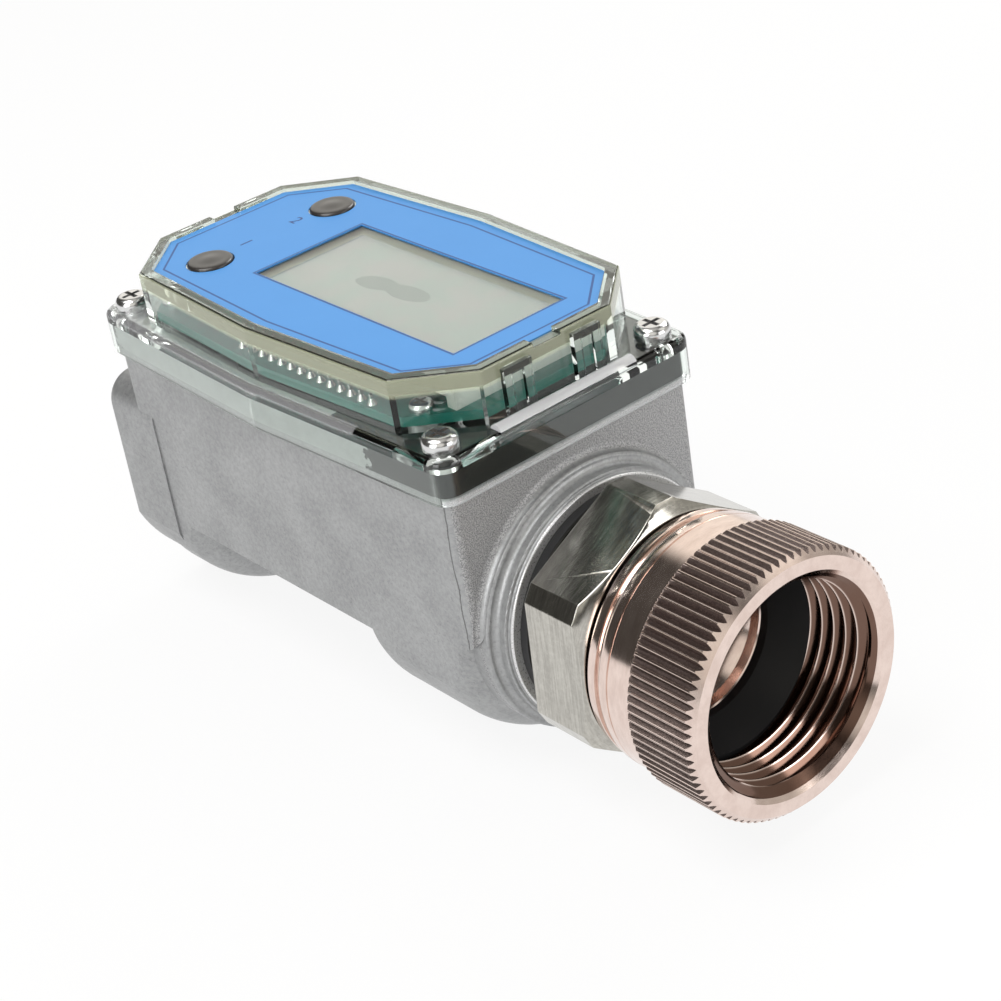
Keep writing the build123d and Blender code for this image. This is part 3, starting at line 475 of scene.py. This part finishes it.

# %% [markdown]
# The clear cover is polycarbonate with a faint green tint: a shader with full
# transmission. Near the top, the sides of its window box carry a painted glow:
# a cream colour that stands for the light of the label's edge caught in them.
# The skirt's lower edge at the outlet is frosted by the mould. The bead there is
# partly frosted and partly a painted highlight, and the flange's upper edge
# carries a painted reflection. A second, cloudy shader is mixed in at those places.

# %% Clear cover
# corners of a quarter of the outline, from the lid's middle, round from the end
WINDOW_OUTLINE = [
    (42.05 * MM, 12.4 * MM),
    (32.9 * MM, 22.4 * MM),
    (0.0, 24.3 * MM),
]
RIM_WIDTH = 2.05 * MM
BEAD_HALF_LENGTH = 13.3 * MM
BEAD_WIDTH = 2.35 * MM
BEAD_HEIGHT = 1.3 * MM
# painted glow: where the cream glow of caught light starts and is full on the walls
GLOW_STARTS_Z = LID_Z + 5.4 * MM
GLOW_IS_FULL_Z = LID_Z + 6.2 * MM
SKIRT_FOOT_Z = cover_low.z
FLANGE_SHEEN_TO_X = 26 * MM
WALL_GLOW, RIM_GLOW = 0.55, 0.05
# the bead's frost also carries a painted highlight, and the flange's edge a painted reflection
BEAD_FROST_AND_SHEEN, SKIRT_FROST, FLANGE_SHEEN = 0.9, 0.5, 0.35
CAUGHT_GLOW_TONE = (0.93, 0.98, 0.70)
FROST_AND_SHEEN_TONE = (0.97, 0.97, 1.0)

clear = Finish(
    "clear_plastic",
    base_color=(0.93, 0.985, 0.95),
    roughness=0.02,
    ior=1.5,
    transmission_weight=1.0,
)
clear_x, clear_y, clear_z = clear.along(clear.place((LID_X, 0, 0)))
from_end = cover_high.x - LID_X - clear_x
outside_window = outside_lid_outline(clear_x, clear_y, WINDOW_OUTLINE)
# painted glow: caught light on the walls near the top, and faintly on the rim
on_wall = band(outside_window, 0.0, 0.12 * MM) * WALL_GLOW
on_rim = outside_window.above(-RIM_WIDTH) * RIM_GLOW
caught_glow = on_wall.most(on_rim) * clear_z.ramp(GLOW_STARTS_Z, GLOW_IS_FULL_Z)
# frosted bead, with a painted highlight on it
bead = (
    from_end.below(BEAD_WIDTH)
    * clear_z.above(LID_Z + 0.1 * MM)
    * clear_z.below(LID_Z + BEAD_HEIGHT)
    * clear_y.size().below(BEAD_HALF_LENGTH)
)
skirt_edge = clear_z.ramp(SKIRT_FOOT_Z + 0.7 * MM, SKIRT_FOOT_Z + 1.1 * MM, 1.0, 0.0)
skirt_edge = skirt_edge * from_end.below(1.4 * MM)
# painted reflection along the flange's upper edge
flange_sheen = clear_z.ramp(LID_Z - 1.3 * MM, LID_Z - 0.9 * MM) * clear_z.below(LID_Z + 0.1 * MM)
flange_sheen = flange_sheen * outside_window.above(1.2 * MM) * clear_x.below(FLANGE_SHEEN_TO_X)
frost_and_sheen = bead * BEAD_FROST_AND_SHEEN + skirt_edge * SKIRT_FROST + flange_sheen * FLANGE_SHEEN
# the second shader shows the painted glow, the frost, and the painted highlight and reflection
glow_frost_and_sheen = clear.add_shader(
    base_color=clear.shade(caught_glow.above(0.02), FROST_AND_SHEEN_TONE, CAUGHT_GLOW_TONE),
    roughness=0.2,
    ior=1.5,
    transmission_weight=0.5,
)
clear.mix_shader((caught_glow + frost_and_sheen).clamped(), glow_frost_and_sheen)
dress(clear, "clear_cover")

# %% [markdown]
# The gasket is black rubber pressed between the cover and the casting's rim.
# Where the plastic wets it, it shows black. Elsewhere a film of air lies
# between them and turns the cover's inner face into a silvery mirror. That
# mirror is painted into the gasket's colour: a painted reflection, light grey
# along its sides, with ragged edges.

# %% Rubber
rubber = Finish("black_rubber", base_color=(0.008, 0.008, 0.009), roughness=0.5)
rubber.set("normal", rubber.bump(rubber.grain(0.3 * MM), 0.02 * MM, 0.5))
dress(rubber, "bushing_seal", "hose_washer")

# places along the lid, from its middle
WET_CORNER_X = 30.5 * MM
WET_INLET_X = -42.0 * MM
WEDGE_FROM_X = 18 * MM
WEDGE_SLOPE = 0.14
WET_EDGE = 0.3 * MM
WET_TONE = (0.006, 0.006, 0.007)

gasket = Finish("pressed_gasket", roughness=0.4)
gasket_x, gasket_y = gasket.along(gasket.place((LID_X, 0, 0)))[:2]
ragged = gasket.grain(2.2 * MM, detail=5.0, roughness=0.65) - 0.5
beside_window = outside_lid_outline(gasket_x, gasket_y, WINDOW_OUTLINE)
wet_outlet = (gasket_x + ragged * 5 * MM).ramp(WET_CORNER_X - WET_EDGE, WET_CORNER_X + WET_EDGE)
wet_inlet = (gasket_x + ragged * 8 * MM).ramp(WET_INLET_X - WET_EDGE, WET_INLET_X + WET_EDGE, 1.0, 0.0)
wedge_width = (gasket_x - WEDGE_FROM_X) * WEDGE_SLOPE
wedge = (beside_window - wedge_width + ragged * MM).below(0.0) * gasket_x.above(WEDGE_FROM_X)
wet = wet_outlet.most(wet_inlet).most(wedge)
# painted reflection: the air film's silvery mirror, painted light grey on the dry gasket
painted_mirror_grey = gasket.shade(gasket.grain(1.6 * MM), (0.36, 0.37, 0.37), (0.52, 0.53, 0.53))
gasket.set("base_color", gasket.shade(wet, painted_mirror_grey, WET_TONE))
dress(gasket, "cover_gasket")

# %% [markdown]
# The face label is a blue film with a thin dark border, printed like the
# outline of the display. Both lines are the same measure as the outlines
# above, taken where it crosses a fixed distance.

# %% Label
BORDER_OUTLINE = [
    (38.3 * MM, 11.3 * MM),
    (31.4 * MM, 18.6 * MM),
    (0.0, 20.2 * MM),
]
DISPLAY_OUTLINE = [(25.1 * MM, 10.6 * MM), (0.0, 10.6 * MM)]
DISPLAY_MIDDLE_X = 8.5 * MM
OPENING_LINE = 0.25 * MM
PRINT_LINE = 0.16 * MM
PRINT_INK = (0.012, 0.05, 0.20)

label = Finish("blue_label", roughness=0.4, specular_ior_level=0.35)
label_x, label_y = label.along(label.place((LID_X, 0, 0)))[:2]
border = band(outside_lid_outline(label_x, label_y, BORDER_OUTLINE), 0.0, PRINT_LINE)
opening = outside_lid_outline(label_x - DISPLAY_MIDDLE_X, label_y, DISPLAY_OUTLINE)
lines = border.most(band(opening, OPENING_LINE, PRINT_LINE))
film = label.shade(label.grain(9 * MM), (0.058, 0.25, 0.595), (0.066, 0.27, 0.63))
label.set("base_color", label.shade(lines * 0.85, film, PRINT_INK))
label.set("normal", label.bump(label.grain(0.25 * MM), 0.004 * MM, 0.4))
dress(label, "face_label")

# %% [markdown]
# Two plain numerals stand beside the buttons, in the border's ink. Text is a
# curve, so it becomes a mesh before its place is applied to its points.

# %% Numerals
NUMERAL_HEIGHT = 3.4 * MM
# the place of each, from the lid's middle
NUMERALS = {"1": (-28.0 * MM, -4.7 * MM), "2": (-28.0 * MM, 5.5 * MM)}
INK_THICKNESS = 0.02 * MM

ink = Finish("dark_ink", base_color=PRINT_INK, roughness=0.4)
for numeral, (x, y) in NUMERALS.items():
    letter = bpy.data.curves.new("numeral", "FONT")
    letter.body = numeral
    letter.size = NUMERAL_HEIGHT
    letter.align_x = "CENTER"
    letter.align_y = "CENTER"
    letter.extrude = INK_THICKNESS / 2
    holder = bpy.data.objects.new("numeral", letter)
    print_mesh = bpy.data.meshes.new_from_object(holder)
    bpy.data.objects.remove(holder)
    print_mesh.transform(Matrix.Translation((LID_X + x, y, label_high.z + INK_THICKNESS / 2)))
    print_mesh.materials.clear()
    print_mesh.materials.append(ink.material)
    piece = bpy.data.objects.new("button_numeral_" + numeral, print_mesh)
    scene.collection.objects.link(piece)
    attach(piece, "meter")

# %% [markdown]
# The display is off: a grey glass with a faint cloud, a darker double oval in
# its middle and the edge of its backing showing beige at two sides.

# %% Display glass
OVALS = [
    # (middle, half its length, half its width, turn), from the lid's middle
    ((1.85 * MM, -0.55 * MM), 4.4 * MM, 2.1 * MM, 0.15),
    ((9.1 * MM, -0.15 * MM), 4.9 * MM, 2.15 * MM, 0.04),
]
OVAL_TONE = (0.24, 0.25, 0.24)
BACKING_END_X = -15.2 * MM
BACKING_SIDE_Y = 9.3 * MM
BACKING_EDGE = 0.2 * MM
BACKING_TONE = (0.72, 0.68, 0.55)


def oval(x, y, middle, half_length, half_width, turn):
    """1 inside an ellipse that is turned about its middle."""
    ahead = ((x - middle[0]) * math.cos(turn) + (y - middle[1]) * math.sin(turn)) / half_length
    aside = ((y - middle[1]) * math.cos(turn) - (x - middle[0]) * math.sin(turn)) / half_width
    return (ahead * ahead + aside * aside).ramp(0.85, 1.05, 1.0, 0.0)


lcd = Finish("display_grey", roughness=0.14)
lcd_x, lcd_y = lcd.along(lcd.place((LID_X, 0, 0)))[:2]
left_oval, right_oval = [oval(lcd_x, lcd_y, *shape) for shape in OVALS]
glass_tone = lcd.shade(lcd.grain(7 * MM).ramp(0.35, 0.65), (0.385, 0.42, 0.395), (0.445, 0.41, 0.405))
glass_tone = lcd.shade(left_oval.most(right_oval) * 0.85, glass_tone, OVAL_TONE)
backing_end = lcd_x.ramp(BACKING_END_X - BACKING_EDGE, BACKING_END_X, 1.0, 0.0)
backing = backing_end.most(lcd_y.ramp(BACKING_SIDE_Y, BACKING_SIDE_Y + BACKING_EDGE))
lcd.set("base_color", lcd.shade(backing * 0.6, glass_tone, BACKING_TONE))
dress(lcd, "display_glass")

# %% Buttons
button = Finish("button_gloss", base_color=(0.026, 0.022, 0.020), coat_weight=0.3)
button.set("roughness", 0.26 + 0.1 * button.grain(0.6 * MM))
button.set("normal", button.bump(button.grain(0.35 * MM), 0.01 * MM, 0.4))
dress(button, "mode_button", "set_button")

# %% [markdown]
# Small parts differ mainly in tone and in how smooth they are, so one helper
# makes every metal and another every plastic, from a tone, a roughness and the
# size of the grain.

# %% Screws, pins and plain parts
METAL_GRAIN_TONE = 0.86
PLASTIC_GRAIN_TONE = 0.88


def plain_metal(name, tone, roughness, grain_size, *names):
    metal = Finish(name, metallic=1.0)
    grain = metal.grain(grain_size)
    metal.set("base_color", metal.shade(grain, [part * METAL_GRAIN_TONE for part in tone], tone))
    metal.set("roughness", roughness + 0.12 * grain)
    dress(metal, *names)


def plain_plastic(name, tone, roughness, grain_size, *names):
    plastic = Finish(name)
    grain = plastic.grain(grain_size)
    plastic.set("base_color", plastic.shade(grain, [part * PLASTIC_GRAIN_TONE for part in tone], tone))
    plastic.set("roughness", roughness + 0.1 * grain)
    plastic.set("normal", plastic.bump(grain, 0.01 * MM, 0.5))
    dress(plastic, *names)


plain_metal("screw_steel", (0.76, 0.76, 0.76), 0.14, 0.5 * MM, "cover_screws", "board_screws")
plain_metal(
    "ground_steel",
    (0.66, 0.66, 0.66),
    0.26,
    0.4 * MM,
    "rotor_shaft",
    "inlet_retaining_ring",
    "outlet_retaining_ring",
    "display_pins",
    "cell_contacts",
    "cell_springs",
)
plain_metal("tinned_pins", (0.80, 0.80, 0.78), 0.2, 0.3 * MM, "header_pins")
plain_metal("copper_wire", (0.55, 0.20, 0.09), 0.3, 0.2 * MM, "coil_winding")
plain_plastic(
    "black_plastic",
    (0.022, 0.022, 0.022),
    0.42,
    0.2 * MM,
    "main_chip",
    "filter_coil",
    "mode_switch",
    "set_switch",
    "cell_holder",
    "rotor_bushes",
)
plain_plastic(
    "pale_plastic",
    (0.74, 0.75, 0.71),
    0.4,
    0.3 * MM,
    "display_frame",
    "mode_plunger",
    "set_plunger",
    "coil_bobbin",
    "rotor",
    "inlet_support",
    "outlet_support",
)
plain_plastic("cell_jacket", (0.06, 0.07, 0.09), 0.25, 4 * MM, "cells")
plain_plastic("board_green", (0.009, 0.18, 0.145), 0.32, 2.5 * MM, "circuit_board")

# %% [markdown]
# The hexagon is brass with a nickel plate, brushed before plating: its streaks
# run slantwise over every face, and the plate is freckled. Stretched noise
# makes the streaks.

# %% Nickel plate
nickel = Finish("nickel_plate", metallic=1.0)
streaks = nickel.grain(
    0.5 * MM, nickel.place(turned=(0.5, 0.7, 0.3), stretch=(1, 0.06, 0.06)), detail=6.0, roughness=0.7
)
freckles = nickel.grain(0.9 * MM, detail=6.0, roughness=0.75)
nickel_tone = (streaks.ramp(0.4, 0.6) * 0.6 + freckles.ramp(0.4, 0.7) * 0.4).clamped()
nickel.set("base_color", nickel.shade(nickel_tone, (0.40, 0.385, 0.35), (0.60, 0.58, 0.53)))
nickel.set("roughness", 0.06 + 0.12 * streaks + 0.08 * freckles)
nickel.set("normal", nickel.bump(streaks * 0.7 + freckles * 0.3, 0.004 * MM, 0.5))
dress(nickel, "hex_bushing")

# %% [markdown]
# The nut and the tailpiece are plated rose gold and polished. The grooves of
# the knurl hold a dull brown film, and the valleys of the thread are darker
# brown, so the radius says where the colour turns.

# %% Rose gold plate
KNURL_BACK = NUT_BACK + 9.6 * MM
CREST_RADIUS = 20.6 * MM
KNURL_FLOOR = 19.5 * MM
BEVEL_START = NUT_MOUTH - 1.2 * MM
FILM_FULL_DEPTH, FILM_FADES_DEPTH = 0.16 * MM, 0.05 * MM
VALLEY_STARTS, VALLEY_IS_FULL, VALLEY_ENDS = 15.16 * MM, 15.4 * MM, 16.9 * MM
VALLEY_TONE = (0.11, 0.05, 0.03)

rose = Finish("rose_plate", metallic=1.0)
rose_x = rose.along(rose.place())[0]
rose_radius = from_axis(rose)
on_bevel = (rose_x + rose_radius).above(BEVEL_START + CREST_RADIUS - 0.04 * MM)
in_knurl = rose_x.above(KNURL_BACK + 0.1 * MM) * rose_radius.above(KNURL_FLOOR) * (1.0 - on_bevel)
below_crest = CREST_RADIUS - rose_radius
groove_film = in_knurl * below_crest.ramp(FILM_FADES_DEPTH, FILM_FULL_DEPTH)
# the thread's valleys are made darker brown
dark_valleys = (
    rose_radius.ramp(VALLEY_STARTS, VALLEY_IS_FULL)
    * rose_radius.below(VALLEY_ENDS)
    * rose_x.below(NUT_MOUTH - 0.6 * MM)
    * rose_x.above(NUT_BACK + 10.0 * MM)
)
polish = rose.grain(1.2 * MM, rose.place(stretch=(1, 0.35, 0.35)), detail=5.0, roughness=0.65)
dust = rose.grain(0.22 * MM, detail=3.0, roughness=0.7)
rose_tone = rose.shade(polish.ramp(0.3, 0.7), (0.72, 0.575, 0.515), (0.82, 0.675, 0.61))
film_tone = rose.shade(dust.ramp(0.35, 0.65), (0.045, 0.032, 0.030), (0.15, 0.11, 0.10))
rose_tone = rose.shade((groove_film * 0.9).clamped(), rose_tone, film_tone)
rose_tone = rose.shade(dark_valleys * 0.92, rose_tone, VALLEY_TONE)
rose.set("base_color", rose_tone)
rose.set("roughness", 0.1 + 0.07 * polish + 0.35 * groove_film + 0.12 * on_bevel)
rose.set("normal", rose.bump(dust * (groove_film + on_bevel * 0.2) + polish * 0.1, 0.03 * MM, 0.5))

# %% [markdown]
# The swivel nut is what a plain solid shows worst, so it is made by hand in
# three closed shapes. Its shell is a turned part: the outline of a cut through
# one side, a list of places along the axis and radii, is spun round the axis.

# %% The nut's turned shell
TURN_STEPS = 180
CREASE_ANGLE = math.radians(28)
MERGE_DISTANCE = 0.002 * MM


def on_axis(x, radius, angle=0.0):
    """A point at a distance along the flow axis, a radius and an angle."""
    return Vector((x, -radius * math.sin(angle), AXIS_Z + radius * math.cos(angle)))


def spin_round(shape, angle=2 * math.pi, steps=TURN_STEPS, **how):
    """Spins all of a shape round the flow axis."""
    bmesh.ops.spin(
        shape,
        geom=shape.verts[:] + shape.edges[:] + shape.faces[:],
        cent=(0, 0, AXIS_Z),
        axis=(1, 0, 0),
        angle=angle,
        steps=steps,
        **how,
    )


def keep_piece(shape, name, body, node):
    """Closes the mesh's seams, gives it its finish and lets it ride in a node's place."""
    bmesh.ops.remove_doubles(shape, verts=shape.verts, dist=MERGE_DISTANCE)
    bmesh.ops.recalc_face_normals(shape, faces=shape.faces)
    mesh = bpy.data.meshes.new(name)
    shape.to_mesh(mesh)
    open_edges = sum(1 for edge in shape.edges if not edge.is_manifold)
    shape.free()
    mesh.shade_smooth()
    mesh.set_sharp_from_angle(angle=CREASE_ANGLE)
    mesh.materials.append(rose.material)
    piece = bpy.data.objects.new(name, mesh)
    scene.collection.objects.link(piece)
    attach(piece, body)
    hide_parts(node)
    print(name, len(mesh.polygons), "faces,", open_edges, "open edges")


def turned(start, outline):
    """A closed ring from an outline of (distance from start, radius) in millimetres."""
    shape = bmesh.new()
    corners = [shape.verts.new(on_axis(start + x * MM, radius * MM)) for x, radius in outline]
    for first, second in zip(corners, corners[1:] + corners[:1]):
        shape.edges.new((first, second))
    spin_round(shape, use_merge=True)
    return shape


# (distance from the nut's back, radius) in millimetres, from the bore out and round
SHELL_OUTLINE = [
    (0.0, 13.75),
    (0.0, 18.9),
    (0.25, 19.15),
    (0.5, 19.2),
    (1.5, 19.25),
    (1.7, 19.45),
    (1.95, 19.45),
    (2.1, 18.85),
    (2.5, 18.75),
    (2.75, 18.9),
    (2.9, 19.35),
    (3.05, 19.6),
    (3.3, 19.72),
    (3.6, 19.78),
    (4.75, 19.8),
    (4.85, 19.55),
    (5.0, 19.55),
    (5.1, 19.8),
    (22.2, 19.8),
    (22.6, 19.42),
    (22.6, 17.35),
    (22.0, 16.75),
    (1.6, 16.75),
    (1.6, 13.75),
]
keep_piece(turned(NUT_BACK, SHELL_OUTLINE), "nut_shell", "nut", "swivel_nut")

# %% [markdown]
# The tailpiece, which the nut pulls in, is turned the same way. A steep cone
# leads from its rim into its bore, and catches light from the nut's mouth.

# %% The tailpiece
# (distance from its back, radius) in millimetres
TAIL_OUTLINE = [
    (0.0, 8.6),
    (0.0, 13.2),
    (12.0, 13.2),
    (12.0, 13.45),
    (14.6, 13.45),
    (14.6, 14.9),
    (15.9, 14.9),
    (15.9, 12.3),
    (15.6, 12.0),
    (14.2, 11.7),
    (11.2, 8.9),
    (10.4, 8.6),
]
keep_piece(turned(tail_low.x, TAIL_OUTLINE), "turned_tailpiece", "meter", "tailpiece")

# %% [markdown]
# The knurl is ninety straight teeth. One tooth is modelled: its cut across, a
# narrow crest between two hollow flanks, is extruded along the axis, and two
# slanting planes cut its ends back. Then the tooth is spun round in copies,
# whose shared sides were opened first, so that they merge into one ring.

# %% The knurl
TEETH = 90
KNURL_FRONT = NUT_MOUTH - 0.4 * MM
CREST_BACK = KNURL_BACK + 0.5 * MM
SIDE_TOLERANCE = 0.02
# (share of half a tooth's angle, radius in millimetres), from the middle out
TOOTH_HALF = [(0.05, 20.56), (0.12, 20.6), (0.24, 20.58), (0.36, 20.4), (0.6, 20.12), (1.0, 19.85)]

tooth = bmesh.new()
half_angle = math.pi / TEETH
half_cut = [(share * half_angle, radius * MM) for share, radius in TOOTH_HALF]
cut_across = [(-angle, radius) for angle, radius in reversed(half_cut)] + half_cut
cut_across += [(half_angle, KNURL_FLOOR), (-half_angle, KNURL_FLOOR)]
tooth_end = tooth.faces.new(
    [tooth.verts.new(on_axis(KNURL_BACK, radius, angle)) for angle, radius in cut_across]
)
grown = bmesh.ops.extrude_face_region(tooth, geom=[tooth_end])["geom"]
bmesh.ops.translate(
    tooth,
    verts=[part for part in grown if isinstance(part, bmesh.types.BMVert)],
    vec=(KNURL_FRONT - KNURL_BACK, 0, 0),
)
for crest_end, facing in ((CREST_BACK, -1), (BEVEL_START, 1)):
    bmesh.ops.bisect_plane(
        tooth,
        geom=tooth.verts[:] + tooth.edges[:] + tooth.faces[:],
        plane_co=on_axis(crest_end, CREST_RADIUS),
        plane_no=(facing, 0, 1),
        clear_outer=True,
    )
    bmesh.ops.holes_fill(tooth, edges=[edge for edge in tooth.edges if edge.is_boundary])


def at_tooth_side(vert):
    """Says whether a point lies on the plane that a tooth shares with the next."""
    angle = math.atan2(abs(vert.co.y), vert.co.z - AXIS_Z)
    return abs(angle - half_angle) < half_angle * SIDE_TOLERANCE


sides = [
    face
    for face in tooth.faces
    if all(at_tooth_side(vert) for vert in face.verts) and abs(face.normal.y) > 0.9
]
bmesh.ops.delete(tooth, geom=sides, context="FACES_ONLY")
spin_round(tooth, 2 * math.pi * (TEETH - 1) / TEETH, TEETH - 1, use_duplicate=True)
keep_piece(tooth, "nut_knurl", "nut", "swivel_nut")

# %% [markdown]
# The screw thread inside the nut is one pitch of its outline, spun for several
# turns while every step also moves a little along the axis. The turns meet and
# merge. Two planes trim the ends. More planes cut rings of points near the
# mouth, and these are pushed out to the mouth's cone. The ends are carried
# outwards and bridged, which closes the thread into a ring of its own inside
# the shell.

# %% The screw thread
PITCH = 2.309 * MM
THREAD_STEPS = 144
THREAD_TURNS = 9
THREAD_BACK = NUT_BACK + 10.1 * MM
FIRST_CREST = 0.6 * MM
MINOR_RADIUS = 15.15 * MM
MOUTH_RADIUS = 17.35 * MM
MOUTH_DEPTH = 1.9 * MM
CONE_CUTS = (0.8, 0.6, 0.45, 0.3, 0.15)
OUTER_RADIUS = 17.6 * MM
OUTER_SETBACK = 0.15 * MM
# (share of a pitch, radius in millimetres), from a crest to the valley
THREAD_HALF = [(0.0, 15.15), (0.045, 15.16), (0.09, 15.3), (0.37, 16.45), (0.43, 16.58), (0.5, 16.6)]


def radius_of(vert):
    return math.hypot(vert.co.y, vert.co.z - AXIS_Z)


def move_to_radius(vert, radius):
    stretch = radius / radius_of(vert)
    vert.co.y *= stretch
    vert.co.z = AXIS_Z + (vert.co.z - AXIS_Z) * stretch


def cut_thread(x, facing=1, clears=False):
    """Cuts the thread across at x, and clears what lies beyond if asked to."""
    bmesh.ops.bisect_plane(
        thread,
        geom=thread.verts[:] + thread.edges[:] + thread.faces[:],
        plane_co=(x, 0, AXIS_Z),
        plane_no=(facing, 0, 0),
        clear_outer=clears,
    )


thread = bmesh.new()
# two pitches behind the back, so that a whole turn is there when it is trimmed
thread_start = THREAD_BACK + FIRST_CREST - 2 * PITCH
one_pitch = THREAD_HALF + [(1 - share, radius) for share, radius in reversed(THREAD_HALF[:-1])]
ridge = [
    thread.verts.new(on_axis(thread_start + share * PITCH, radius * MM)) for share, radius in one_pitch
]
for first, second in zip(ridge, ridge[1:]):
    thread.edges.new((first, second))
spin_round(
    thread,
    2 * math.pi * THREAD_TURNS,
    THREAD_STEPS * THREAD_TURNS,
    dvec=(PITCH / THREAD_STEPS, 0, 0),
)
bmesh.ops.remove_doubles(thread, verts=thread.verts, dist=MERGE_DISTANCE)
cut_thread(THREAD_BACK, -1, clears=True)
cut_thread(NUT_MOUTH, clears=True)
for share in CONE_CUTS:
    cut_thread(NUT_MOUTH - share * MOUTH_DEPTH)
cone_slope = (MOUTH_RADIUS - MINOR_RADIUS) / MOUTH_DEPTH
for vert in thread.verts:
    least = MOUTH_RADIUS - (NUT_MOUTH - vert.co.x) * cone_slope
    if radius_of(vert) < least:
        move_to_radius(vert, least)
rims = []
for rim_x, new_x in ((THREAD_BACK, THREAD_BACK), (NUT_MOUTH, NUT_MOUTH - OUTER_SETBACK)):
    rim = [
        edge
        for edge in thread.edges
        if edge.is_boundary and all(abs(vert.co.x - rim_x) < 0.001 * MM for vert in edge.verts)
    ]
    grown = bmesh.ops.extrude_edge_only(thread, edges=rim)["geom"]
    for vert in (part for part in grown if isinstance(part, bmesh.types.BMVert)):
        vert.co.x = new_x
        move_to_radius(vert, OUTER_RADIUS)
    rims += [part for part in grown if isinstance(part, bmesh.types.BMEdge)]
bmesh.ops.bridge_loops(thread, edges=rims)
keep_piece(thread, "nut_thread", "nut", "swivel_nut")

# %% [markdown]
# The hexagon's edges catch the light in the picture, so its solid gets a
# small live bevel. Its mesh is loose triangles, which Weld joins first. The
# gasket is drawn in by a hair, so that the film of air above it is real and
# the plastic's face and the rubber's don't lie in one plane.

# %% Bevelled hexagon, seated gasket
AIR_FILM = 0.03 * MM
WELD_DISTANCE = 0.001 * MM
HEX_BEVEL = 0.22 * MM
HEX_SHARP_ANGLE = math.radians(25)


def weld(name):
    """Joins the loose triangles of a CAD node."""
    joined = nodes[name].modifiers.new("weld", "WELD")
    joined.merge_threshold = WELD_DISTANCE


weld("hex_bushing")
bevel = nodes["hex_bushing"].modifiers.new("bevel", "BEVEL")
bevel.width = HEX_BEVEL
bevel.segments = 2
bevel.limit_method = "ANGLE"
bevel.angle_limit = HEX_SHARP_ANGLE

weld("cover_gasket")
shrink = nodes["cover_gasket"].modifiers.new("air_film", "DISPLACE")
shrink.direction = "NORMAL"
shrink.mid_level = 0.0
shrink.strength = -AIR_FILM
